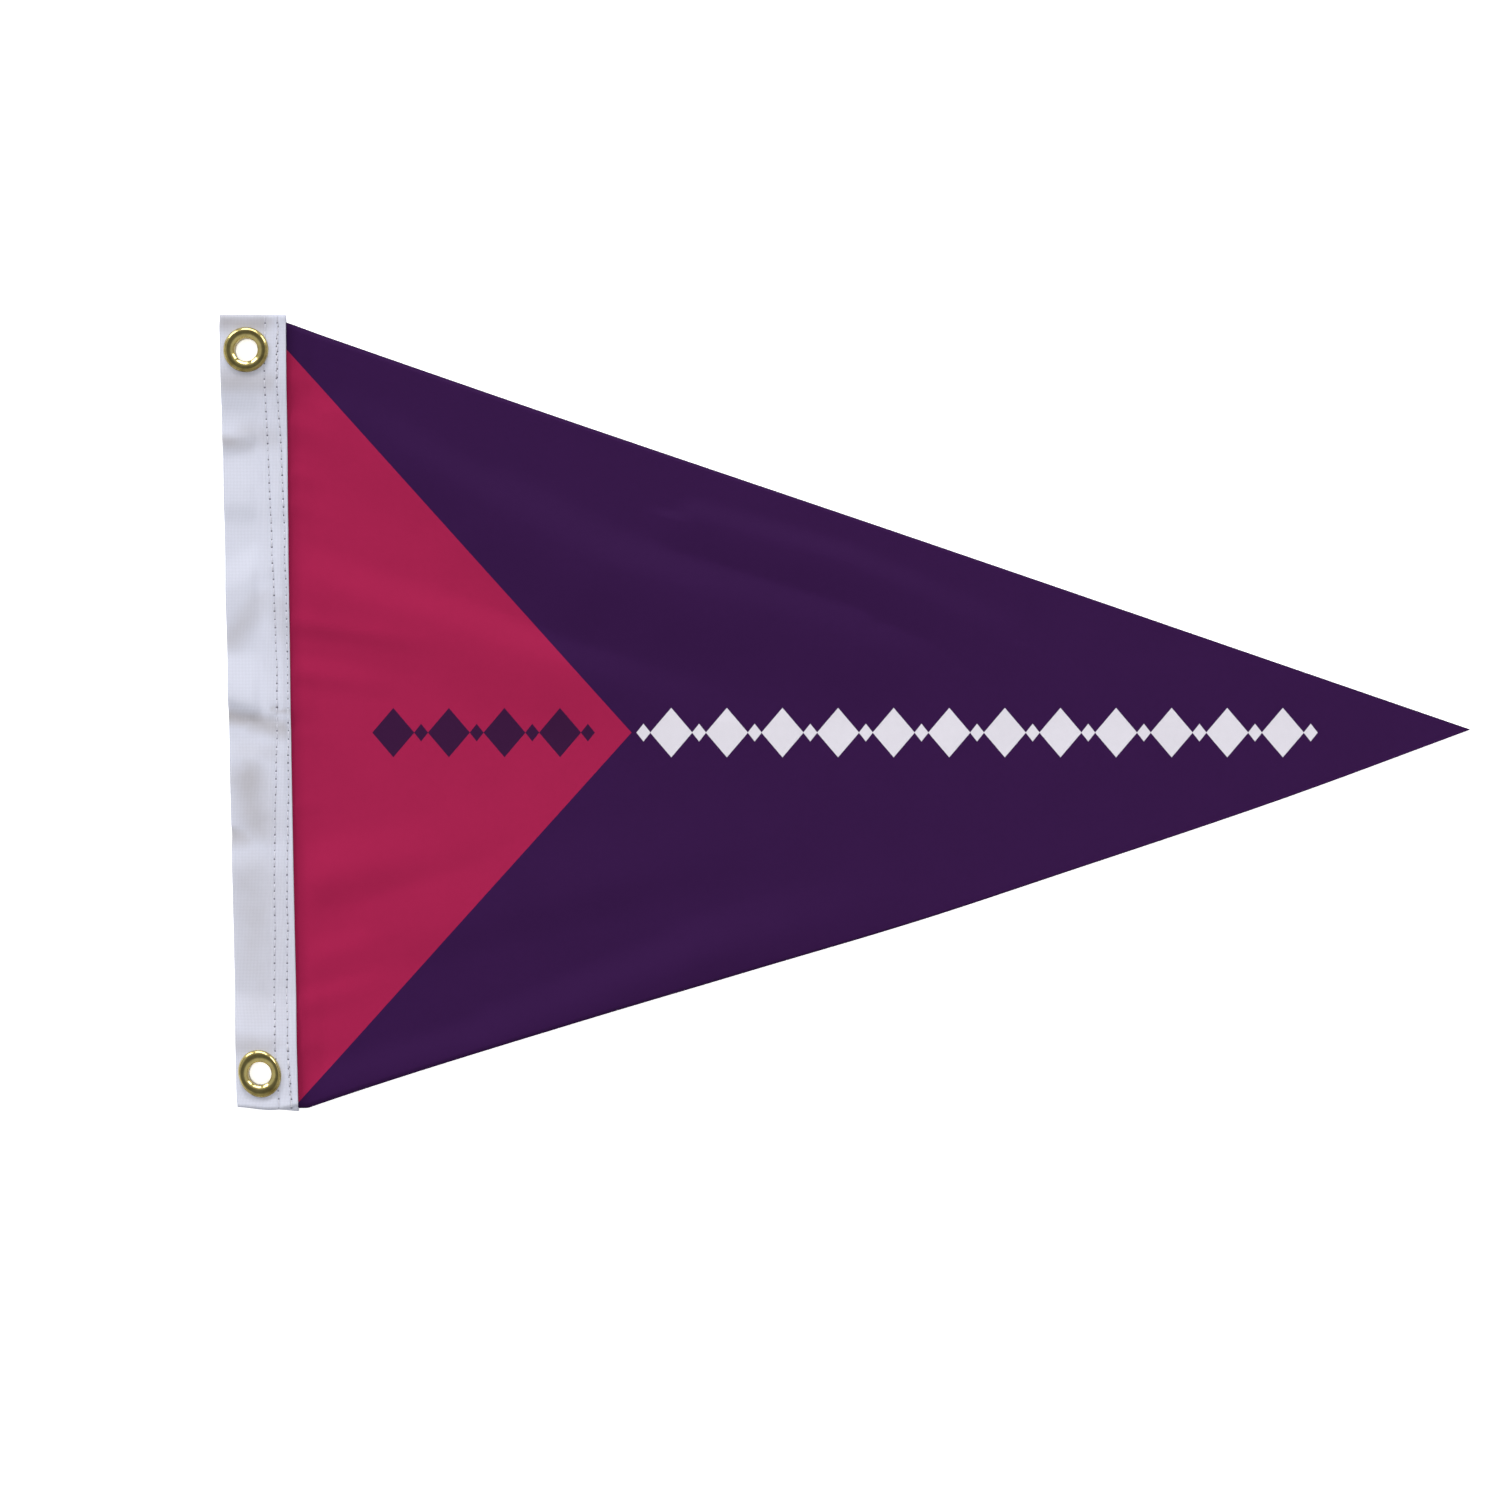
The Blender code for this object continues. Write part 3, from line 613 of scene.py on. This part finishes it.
def make_heading(material):
    """The strip as one sheet: turned-in edge, front leaf, fold, back leaf and the other turned-in edge."""
    t = np.linspace(0, 1, STATIONS + 1)
    hem = np.concatenate((np.linspace(HEM_FROM, 0.96, 9), [1.0]))
    leaf = np.concatenate((np.linspace(0, 0.6, 13), np.linspace(0.62, 1.0, 17)))
    front_hem = [canvas_layer(t, np.full_like(t, share), True, True) for share in hem]
    front = [canvas_layer(t, np.full_like(t, share), True, False) for share in reversed(leaf)]
    back = [canvas_layer(t, np.full_like(t, share), False, False) for share in leaf]
    back_hem = [canvas_layer(t, np.full_like(t, share), False, True) for share in reversed(hem)]
    section = front_hem + half_turn(front_hem[-1], front[0], 5, 1) + front
    section += half_turn(front[-1], back[0], 10, -1) + back
    section += half_turn(back[-1], back_hem[0], 5, 1) + back_hem
    points = np.stack(section, axis=1)
    steps = np.linalg.norm(np.diff(points, axis=1), axis=-1)
    across_cloth = np.concatenate((np.zeros((len(t), 1)), np.cumsum(steps, axis=1)), axis=1)
    mesh = grid_mesh("heading_canvas", points, np.stack((across_cloth, points[..., 1]), axis=-1))
    # Painted shade of creases and flanges, mixed with soil, stored on each point
    marks = mesh.attributes.new("shade_and_soil", "FLOAT", "POINT")
    marks.data.foreach_set("value", (crease_height(SHADE_AND_SOIL_MARKS, points[..., 0], points[..., 1]) / MM).ravel())
    heading = add_piece("heading_canvas", mesh, material)
    thicken(heading, CANVAS, 0)
    apply_modifiers(heading)
    return heading


def cut_eyelet_holes(heading):
    for x, y in EYELET_PLACES:
        shape = bmesh.new()
        bmesh.ops.create_cone(
            shape, cap_ends=True, segments=64, radius1=CANVAS_HOLE_RADIUS, radius2=CANVAS_HOLE_RADIUS, depth=20 * MM,
        )
        bmesh.ops.translate(shape, verts=shape.verts, vec=(x, y, 0))
        mesh = bpy.data.meshes.new("punch")
        shape.to_mesh(mesh)
        shape.free()
        punch = bpy.data.objects.new("punch", mesh)
        bpy.context.scene.collection.objects.link(punch)
        cut = heading.modifiers.new("hole", "BOOLEAN")
        cut.operation = "DIFFERENCE"
        cut.solver = "EXACT"
        cut.object = punch
        apply_modifiers(heading)
        bpy.data.objects.remove(punch, do_unlink=True)


heading = make_heading(make_canvas_material(weave, mottle))
cut_eyelet_holes(heading)
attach(heading, "root")
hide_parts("heading")


# Two rows of lockstitch in white polyester thread hold the heading shut on the fly.
# Each stitch is a short arch of thread between two needle holes, and shows on both faces.
STITCH_PITCH = 3.05 * MM
THREAD_RADIUS = 0.19 * MM
STITCH_ARCH = 0.26 * MM
STITCH_DIP = 0.16 * MM
NEEDLE_HOLE_RADIUS = 0.4 * MM

# Each row from end to end, then the backtacks sewn over the ends of the outer row
SEAM_RUNS = (
    {"row": "inner", "from_y": 151.2 * MM, "to_y": -149.6 * MM, "aside": 0.0},
    {"row": "outer", "from_y": 151.4 * MM, "to_y": -149.8 * MM, "aside": 0.0},
    {"row": "outer", "from_y": 150.0 * MM, "to_y": 130.5 * MM, "aside": 0.35 * MM},
    {"row": "outer", "from_y": -128.0 * MM, "to_y": -148.4 * MM, "aside": -0.3 * MM},
)
THREAD_WHITE = (0.70, 0.70, 0.78, 1.0)
HOLE_SHADOW = (0.16, 0.16, 0.20, 1.0)


def surface_finder(obj):
    """A ray caster that gives the height of a piece's top or underside."""
    from mathutils.bvhtree import BVHTree
    shape = bmesh.new()
    shape.from_mesh(obj.data)
    tree = BVHTree.FromBMesh(shape)
    shape.free()

    def height(x, y, facing):
        hit = tree.ray_cast(Vector((x, y, 0.05 * facing)), Vector((0, 0, -facing)))[0]
        return hit.z if hit else 0.0

    return height


def stitch_line(run, facing, height):
    """The path of one run of stitches on one face, as a line of points on the canvas."""
    count = round(abs(run["from_y"] - run["to_y"]) / (0.75 * MM))
    points = []
    for y in np.linspace(run["from_y"], run["to_y"], count):
        wander = 0.25 * MM * (noise.noise((y / (11 * MM), run["aside"] / MM, 5.0)))
        x = float(stitch_x(run["row"], y)) + run["aside"] + wander
        points.append((x, y, height(x, y, facing)))
    mesh = bpy.data.meshes.new("stitch_line")
    mesh.from_pydata(points, [(i, i + 1) for i in range(len(points) - 1)], [])
    line = bpy.data.objects.new("stitch_line", mesh)
    bpy.context.scene.collection.objects.link(line)
    return line


def node_of(tree, kind, **inputs):
    """A geometry node with its plain values and links, given by the names of its inputs."""
    node = tree.nodes.new(kind)
    for label, value in inputs.items():
        socket = node.inputs[label.replace("_", " ")]
        if isinstance(value, bpy.types.NodeSocket):
            tree.links.new(value, socket)
        else:
            socket.default_value = value
    return node


def make_stitch_tree():
    """Lays a thread arch, or a flat dark disc of painted shade for a needle hole, at every pitch along a line."""
    tree = bpy.data.node_groups.new("lockstitch_row", "GeometryNodeTree")
    tree.interface.new_socket("Line", in_out="INPUT", socket_type="NodeSocketGeometry")
    for label, kind in (
        ("Pitch", "NodeSocketFloat"), ("Facing", "NodeSocketFloat"), ("Thread Radius", "NodeSocketFloat"),
        ("Arch", "NodeSocketFloat"), ("Dip", "NodeSocketFloat"), ("Hole Radius", "NodeSocketFloat"),
        ("Holes", "NodeSocketBool"), ("Seed", "NodeSocketInt"), ("Finish", "NodeSocketMaterial"),
    ):
        tree.interface.new_socket(label, in_out="INPUT", socket_type=kind)
    tree.interface.new_socket("Row", in_out="OUTPUT", socket_type="NodeSocketGeometry")
    given = tree.nodes.new("NodeGroupInput").outputs
    curve = node_of(tree, "GeometryNodeMeshToCurve", Mesh=given["Line"])
    spaced = tree.nodes.new("GeometryNodeResampleCurve")
    spaced.mode = "LENGTH"
    tree.links.new(curve.outputs[0], spaced.inputs["Curve"])
    tree.links.new(given["Pitch"], spaced.inputs["Length"])
    tangent = tree.nodes.new("GeometryNodeInputTangent")
    up = node_of(tree, "ShaderNodeCombineXYZ", Z=given["Facing"])
    along = tree.nodes.new("FunctionNodeAlignRotationToVector")
    along.axis = "X"
    tree.links.new(tangent.outputs[0], along.inputs["Vector"])
    upright = tree.nodes.new("FunctionNodeAlignRotationToVector")
    upright.axis = "Z"
    upright.pivot_axis = "X"
    tree.links.new(along.outputs[0], upright.inputs["Rotation"])
    tree.links.new(up.outputs[0], upright.inputs["Vector"])
    uneven = tree.nodes.new("FunctionNodeRandomValue")
    uneven.data_type = "FLOAT_VECTOR"
    uneven.inputs["Min"].default_value = (0.86, 0.6, 0.7)
    uneven.inputs["Max"].default_value = (1.08, 1.25, 1.2)
    tree.links.new(given["Seed"], uneven.inputs["Seed"])

    half = calc(tree, "MULTIPLY", given["Pitch"], 0.42)
    dip = calc(tree, "MULTIPLY", given["Dip"], -1.0)
    start = node_of(tree, "ShaderNodeCombineXYZ", X=calc(tree, "MULTIPLY", half, -1.0), Z=dip)
    top = node_of(tree, "ShaderNodeCombineXYZ", Z=calc(tree, "MULTIPLY_ADD", given["Arch"], 2.0, given["Dip"]))
    end = node_of(tree, "ShaderNodeCombineXYZ", X=half, Z=dip)
    arch = node_of(
        tree, "GeometryNodeCurveQuadraticBezier", Resolution=7,
        Start=start.outputs[0], Middle=top.outputs[0], End=end.outputs[0],
    )
    ring = node_of(tree, "GeometryNodeCurvePrimitiveCircle", Resolution=7, Radius=given["Thread Radius"])
    thread = tree.nodes.new("GeometryNodeCurveToMesh")
    tree.links.new(arch.outputs[0], thread.inputs["Curve"])
    tree.links.new(ring.outputs["Curve"], thread.inputs["Profile Curve"])
    thread.inputs["Fill Caps"].default_value = True
    # A needle hole is a flat dark disc on the canvas: painted shade, not a cut
    hole_shade_disc = node_of(
        tree, "GeometryNodeMeshCone", Vertices=10, Radius_Top=calc(tree, "MULTIPLY", given["Hole Radius"], 0.7),
        Radius_Bottom=given["Hole Radius"], Depth=0.05 * MM,
    )
    beside = node_of(tree, "ShaderNodeCombineXYZ", X=calc(tree, "MULTIPLY", given["Pitch"], 0.5))
    hole_shade_disc_place = node_of(tree, "GeometryNodeTransform", Geometry=hole_shade_disc.outputs["Mesh"], Translation=beside.outputs[0])
    choice = tree.nodes.new("GeometryNodeSwitch")
    choice.input_type = "GEOMETRY"
    tree.links.new(given["Holes"], choice.inputs["Switch"])
    tree.links.new(thread.outputs[0], choice.inputs["False"])
    tree.links.new(hole_shade_disc_place.outputs[0], choice.inputs["True"])

    laid = tree.nodes.new("GeometryNodeInstanceOnPoints")
    tree.links.new(spaced.outputs[0], laid.inputs["Points"])
    tree.links.new(choice.outputs[0], laid.inputs["Instance"])
    tree.links.new(upright.outputs[0], laid.inputs["Rotation"])
    tree.links.new(uneven.outputs[0], laid.inputs["Scale"])
    real = node_of(tree, "GeometryNodeRealizeInstances", Geometry=laid.outputs[0])
    finish = node_of(tree, "GeometryNodeSetMaterial", Geometry=real.outputs[0], Material=given["Finish"])
    result = tree.nodes.new("NodeGroupOutput")
    tree.links.new(finish.outputs[0], result.inputs["Row"])
    return tree


def sewn_row(tree, line, **values):
    """What the tree lays along a line, as a plain mesh."""
    modifier = line.modifiers.new("row", "NODES")
    modifier.node_group = tree
    for item in tree.interface.items_tree:
        if item.item_type == "SOCKET" and item.in_out == "INPUT" and item.name in values:
            modifier[item.identifier] = values[item.name]
    bpy.context.view_layer.update()
    depsgraph = bpy.context.evaluated_depsgraph_get()
    mesh = bpy.data.meshes.new_from_object(line.evaluated_get(depsgraph))
    line.modifiers.clear()
    return mesh


def joined(name, meshes):
    shape = bmesh.new()
    for mesh in meshes:
        shape.from_mesh(mesh)
    result = bpy.data.meshes.new(name)
    shape.to_mesh(result)
    shape.free()
    return result


def make_thread_material():
    material, tree, shader = new_material("sewing_thread")
    twist = tree.nodes.new("ShaderNodeTexWave")
    twist.wave_type = "BANDS"
    twist.bands_direction = "DIAGONAL"
    twist.inputs["Scale"].default_value = 900.0
    tree.links.new(object_coordinates(tree), twist.inputs["Vector"])
    darker = tuple(0.82 * value for value in THREAD_WHITE[:3]) + (1.0,)
    tree.links.new(mix_colour(tree, twist.outputs["Fac"], darker, THREAD_WHITE), shader.inputs["Base Color"])
    shader.inputs["Roughness"].default_value = 0.5
    add_bump(tree, shader, twist.outputs["Fac"], 0.5, 0.05 * MM)
    return material


def make_hole_material(mottle):
    material, tree, shader = new_material("needle_hole_shadow")
    # The disc's colour is painted shade of the hole, unevenly dark
    shade = place_group(tree, mottle, object_coordinates(tree), Span=4 * MM, Depth=0.5)
    scale = tree.nodes.new("ShaderNodeVectorMath")
    scale.operation = "SCALE"
    scale.inputs[0].default_value = HOLE_SHADOW[:3]
    tree.links.new(shade.outputs["Factor"], scale.inputs["Scale"])
    tree.links.new(scale.outputs[0], shader.inputs["Base Color"])
    shader.inputs["Roughness"].default_value = 0.9
    return material


stitch_tree = make_stitch_tree()
canvas_height = surface_finder(heading)
for part, holes, finish in (
    ("stitches", False, make_thread_material()),
    ("needle_holes", True, make_hole_material(mottle)),
):
    rows = []
    for facing in (1, -1):
        for seed, run in enumerate(SEAM_RUNS):
            line = stitch_line(run, facing, canvas_height)
            rows.append(sewn_row(stitch_tree, line, **{
                "Pitch": STITCH_PITCH, "Facing": float(facing), "Thread Radius": THREAD_RADIUS, "Arch": STITCH_ARCH,
                "Dip": STITCH_DIP, "Hole Radius": NEEDLE_HOLE_RADIUS, "Holes": holes, "Seed": seed, "Finish": finish,
            }))
            bpy.data.objects.remove(line, do_unlink=True)
    piece = add_piece(part, joined(part, rows), finish)
    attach(piece, "root")


# Each eyelet is pressed from brass sheet: a domed flange on the face, a funnel and a barrel through the canvas.
# The barrel's end is rolled out over a plain brass washer on the back. The foot one was pressed a little oval.
EYELETS = (
    {"name": "head", "place": EYELET_PLACES[0], "oval": 0.0, "long_axis": 0.0},
    {"name": "foot", "place": EYELET_PLACES[1], "oval": 0.068, "long_axis": math.radians(112)},
)
BORE_RADIUS = 4.5 * MM
BRASS_SHEET = 0.5 * MM
FLANGE_RADIUS = 8.65 * MM
FLANGE_RIM_Z = 5.62 * MM
FLANGE_CROWN_Z = 7.35 * MM
CROWN_RADIUS = 6.9 * MM
DOME_FULLNESS = 2.1
FUNNEL_BEND = 3.2 * MM
LIP_RADIUS = 6.7 * MM
WASHER_BORE = 5.3 * MM
WASHER_RADIUS = 8.2 * MM
WASHER_LOW_Z = 0.62 * MM
WASHER_HIGH_Z = 1.6 * MM
TURNS = 128
BRASS = (0.82, 0.69, 0.27, 1.0)
# The dulled colour: partly tarnished brass, partly painted shade on the rim away from the lights
BRASS_TARNISHED_AND_SHADED = (0.26, 0.19, 0.05, 1.0)


def arc(centre, radii, start, end, steps, fullness=2.0):
    """Points on part of an ellipse in the (radius, height) plane, angles in degrees; fullness squares it off."""
    points = []
    for angle in np.radians(np.linspace(start, end, steps)):
        out, up = math.cos(angle), math.sin(angle)
        out = math.copysign(abs(out) ** (2 / fullness), out)
        up = math.copysign(abs(up) ** (2 / fullness), up)
        points.append((centre[0] + radii[0] * out, centre[1] + radii[1] * up))
    return points


def eyelet_profile():
    """The flange's dome, its turned-under rim, the barrel's outside, the rolled lip and the way back up the bore."""
    outer_wall = BORE_RADIUS + BRASS_SHEET
    dome_height = FLANGE_CROWN_Z - FLANGE_RIM_Z
    sheet_dome = dome_height - BRASS_SHEET
    dome = arc((CROWN_RADIUS, FLANGE_RIM_Z), (FLANGE_RADIUS - CROWN_RADIUS, dome_height), 90, 0, 14, DOME_FULLNESS)
    under_rim = arc((FLANGE_RADIUS - 0.2 * MM, FLANGE_RIM_Z), (0.2 * MM, 0.12 * MM), 0, -180, 5)[1:]
    under = arc((CROWN_RADIUS, FLANGE_RIM_Z), (FLANGE_RADIUS - CROWN_RADIUS - BRASS_SHEET, sheet_dome), 0, 180, 9)
    barrel = [(outer_wall, FLANGE_RIM_Z - 0.5 * MM), (outer_wall, 1.1 * MM)]
    lip = arc((LIP_RADIUS - 0.28 * MM, 0.3 * MM), (0.28 * MM, 0.28 * MM), 90, -90, 7)
    flare = arc((outer_wall + 0.7 * MM, 0.75 * MM), (0.7 * MM + BRASS_SHEET, 0.73 * MM), 270, 180, 6)
    steepest = 180 - math.degrees(math.acos((CROWN_RADIUS - BORE_RADIUS) / FUNNEL_BEND))
    funnel = arc((CROWN_RADIUS, FLANGE_CROWN_Z - FUNNEL_BEND), (FUNNEL_BEND, FUNNEL_BEND), steepest, 90, 14)
    edge = [(BORE_RADIUS, funnel[0][1] - 0.35 * MM), (BORE_RADIUS + 0.04 * MM, funnel[0][1] - 0.1 * MM)]
    return dome + under_rim + under + barrel + lip + flare + edge + funnel[1:-1]


def washer_profile():
    middle = (WASHER_LOW_Z + WASHER_HIGH_Z) / 2
    thick = (WASHER_HIGH_Z - WASHER_LOW_Z) / 2
    rim = arc((WASHER_RADIUS - thick, middle), (thick, thick), 90, -90, 8)
    bore = arc((WASHER_BORE + thick, middle), (thick, thick), 270, 90, 8)
    return rim + bore


def tarnish_and_shade_at(radius, angle):
    """Dulled at the rim and least in the funnel, and less on the side towards the lights: partly tarnished brass,
    partly painted shade that dims the rim's reflections away from the lights.
    """
    rim = ease((radius - CROWN_RADIUS + 0.5 * MM) / (FLANGE_RADIUS - CROWN_RADIUS))
    return 0.08 + (0.42 - 0.26 * np.sin(angle)) * rim


def turned_ring(name, profile, place, oval=0.0, long_axis=0.0):
    """Turns a closed profile about the eyelet's axis; an oval flange is pushed out of round at its rim alone."""
    profile = np.array(profile)
    angles = np.linspace(0, 2 * math.pi, TURNS, endpoint=False)
    radius, angle = profile[None, :, 0], angles[:, None]
    rim_share = ease((radius - LIP_RADIUS) / (FLANGE_RADIUS - LIP_RADIUS))
    radius = radius * (1 + oval * rim_share * np.cos(2 * (angle - long_axis)))
    height = np.broadcast_to(profile[None, :, 1], radius.shape)
    points = np.stack((place[0] + radius * np.cos(angle), place[1] + radius * np.sin(angle), height), axis=-1)
    turns, count = points.shape[:2]
    faces = []
    for i in range(turns):
        for j in range(count):
            after, below = (i + 1) % turns, (j + 1) % count
            faces.append((i * count + j, i * count + below, after * count + below, after * count + j))
    mesh = bpy.data.meshes.new(name)
    mesh.from_pydata(points.reshape(-1, 3).tolist(), [], faces)
    # Painted rim shade with tarnished brass, least on the side towards the lights
    tarnish_and_shade = mesh.attributes.new("tarnish_and_shade", "FLOAT", "POINT")
    tarnish_and_shade.data.foreach_set("value", tarnish_and_shade_at(radius, angle).ravel())
    shape = bmesh.new()
    shape.from_mesh(mesh)
    bmesh.ops.remove_doubles(shape, verts=shape.verts, dist=0.002 * MM)
    bmesh.ops.recalc_face_normals(shape, faces=shape.faces)
    shape.to_mesh(mesh)
    shape.free()
    return mesh


def make_brass_material(mottle):
    """Brass, dulled towards the rim and on the side away from the lights, partly tarnished and partly painted shade,
    with fine marks from the die.
    """
    material, tree, shader = new_material("brass")
    place = object_coordinates(tree)
    patches = tree.nodes.new("ShaderNodeTexNoise")
    patches.inputs["Scale"].default_value = 330.0
    patches.inputs["Detail"].default_value = 5.0
    tree.links.new(place, patches.inputs["Vector"])
    tarnish_and_shade = tree.nodes.new("ShaderNodeAttribute")
    tarnish_and_shade.attribute_name = "tarnish_and_shade"
    # How dulled: painted rim shade and tarnished brass, broken up by random patches
    dull_and_shaded = clamp(tree, calc(tree, "MULTIPLY_ADD", calc(tree, "SUBTRACT", patches.outputs["Fac"], 0.5), 1.3, tarnish_and_shade.outputs["Fac"]))
    tone = place_group(tree, mottle, place, Span=5 * MM, Depth=0.3)
    colour = mix_colour(tree, dull_and_shaded, BRASS, BRASS_TARNISHED_AND_SHADED)
    scale = tree.nodes.new("ShaderNodeVectorMath")
    scale.operation = "SCALE"
    tree.links.new(colour, scale.inputs[0])
    tree.links.new(tone.outputs["Factor"], scale.inputs["Scale"])
    tree.links.new(scale.outputs[0], shader.inputs["Base Color"])
    tree.links.new(calc(tree, "MULTIPLY_ADD", dull_and_shaded, 0.14, 0.11), shader.inputs["Roughness"])
    shader.inputs["Metallic"].default_value = 1.0
    add_bump(tree, shader, patches.outputs["Fac"], 0.5, 0.12 * MM)
    return material


brass = make_brass_material(mottle)
for row in EYELETS:
    eyelet_mesh = turned_ring("eyelet", eyelet_profile(), row["place"], row["oval"], row["long_axis"])
    washer_mesh = turned_ring("washer", washer_profile(), row["place"])
    for kind, mesh in (("eyelet", eyelet_mesh), ("washer", washer_mesh)):
        node = kind + "_" + row["name"]
        piece = add_piece(node + "_brass", mesh, brass)
        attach(piece, "root")
        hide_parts(node)


# The flag lies on a plain pale floor, under a soft light from beyond its head end and a wide one overhead.
# The camera looks straight down at it.
FLOOR_SIDE = 40.0
FLOOR_Z = -0.25 * MM
FLOOR_PALE = (0.96, 0.96, 0.96, 1.0)
FLOOR_LIFT = 0.6
CAMERA_X = -36.7 * MM
CAMERA_Y = -14.1 * MM
VIEW_WIDTH = 0.5775
WINDOW_DISTANCE = 2.6
WINDOW_HEIGHT = 1.6
WINDOW_MIDDLE = 1.05
LENS = 100.0
SENSOR = 36.0


def make_floor():
    material, tree, shader = new_material("pale_floor")
    shader.inputs["Base Color"].default_value = FLOOR_PALE
    shader.inputs["Roughness"].default_value = 0.9
    shader.inputs["Emission Color"].default_value = FLOOR_PALE
    seen = tree.nodes.new("ShaderNodeLightPath").outputs["Is Camera Ray"]
    tree.links.new(calc(tree, "MULTIPLY", seen, FLOOR_LIFT), shader.inputs["Emission Strength"])
    shape = bmesh.new()
    bmesh.ops.create_grid(shape, x_segments=1, y_segments=1, size=FLOOR_SIDE / 2)
    bmesh.ops.translate(shape, verts=shape.verts, vec=(0, 0, FLOOR_Z))
    mesh = bpy.data.meshes.new("floor")
    shape.to_mesh(mesh)
    shape.free()
    mesh.materials.append(material)
    floor = bpy.data.objects.new("floor", mesh)
    bpy.context.scene.collection.objects.link(floor)


def add_sun(name, turn, elevation, energy, spread):
    """A far, soft light; turn is to the left of the head end, and all angles are in degrees."""
    data = bpy.data.lights.new(name, "SUN")
    data.energy = energy
    data.angle = math.radians(spread)
    light = bpy.data.objects.new(name, data)
    light.rotation_euler = (math.radians(elevation - 90), 0, math.radians(turn))
    bpy.context.scene.collection.objects.link(light)
    return light


def add_window(name, turn, width, brightness):
    """A pane that only the brass mirrors, round the sun of the same name."""
    size, height = 2 * WINDOW_DISTANCE * math.tan(math.radians(width / 2)), WINDOW_HEIGHT
    data = bpy.data.lights.new(name, "AREA")
    data.shape = "RECTANGLE"
    data.size, data.size_y = size, height
    data.energy = brightness * math.pi * size * height
    light = bpy.data.objects.new(name, data)
    turn = math.radians(turn)
    light.location = (-WINDOW_DISTANCE * math.sin(turn), WINDOW_DISTANCE * math.cos(turn), WINDOW_MIDDLE)
    light.rotation_euler = (math.atan2(WINDOW_DISTANCE, WINDOW_MIDDLE) * -1, 0, turn)
    light.visible_diffuse = False
    bpy.context.scene.collection.objects.link(light)


def make_world(around, above, backdrop):
    """A pale room with a dark patch overhead, where the camera is, seen against a paler backdrop."""
    world = bpy.data.worlds.new("studio")
    world.use_nodes = True
    tree = world.node_tree
    split = tree.nodes.new("ShaderNodeSeparateXYZ")
    tree.links.new(tree.nodes.new("ShaderNodeTexCoord").outputs["Generated"], split.inputs[0])
    patch = tree.nodes.new("ShaderNodeMapRange")
    patch.interpolation_type = "SMOOTHSTEP"
    tree.links.new(split.outputs[2], patch.inputs["Value"])
    for label, value in (("From Min", 0.72), ("From Max", 0.97), ("To Min", around), ("To Max", above)):
        patch.inputs[label].default_value = value
    seen = tree.nodes.new("ShaderNodeLightPath").outputs["Is Camera Ray"]
    share = calc(tree, "MULTIPLY", calc(tree, "SUBTRACT", backdrop, patch.outputs[0]), seen)
    tree.links.new(calc(tree, "ADD", patch.outputs[0], share), tree.nodes["Background"].inputs["Strength"])
    tree.nodes["Background"].inputs["Color"].default_value = (1.0, 1.0, 1.0, 1.0)
    bpy.context.scene.world = world


def make_camera():
    data = bpy.data.cameras.new("camera")
    data.lens = LENS
    data.sensor_width = SENSOR
    data.clip_start = 0.01
    camera = bpy.data.objects.new("camera", data)
    camera.location = (CAMERA_X, CAMERA_Y, VIEW_WIDTH * LENS / SENSOR)
    bpy.context.scene.collection.objects.link(camera)
    bpy.context.scene.camera = camera


make_floor()
make_world(0.46, 0.13, 1.0)
suns = [
    add_sun("overhead", 0, 90, 1.08, 23), add_sun("sun_left", 44, 28, 1.0, 16),
    add_sun("sun_middle", 0, 28, 1.2, 18), add_sun("sun_right", -44, 28, 0.35, 14),
]
for sun in suns:
    sun.visible_glossy = False
add_window("window_left", 43, 20, 4.6)
add_window("window_middle", 0, 38, 4.2)
add_window("window_right", -45, 22, 4.6)
make_camera()
bpy.context.scene.view_settings.view_transform = "Standard"
bpy.context.scene.view_settings.look = "None"
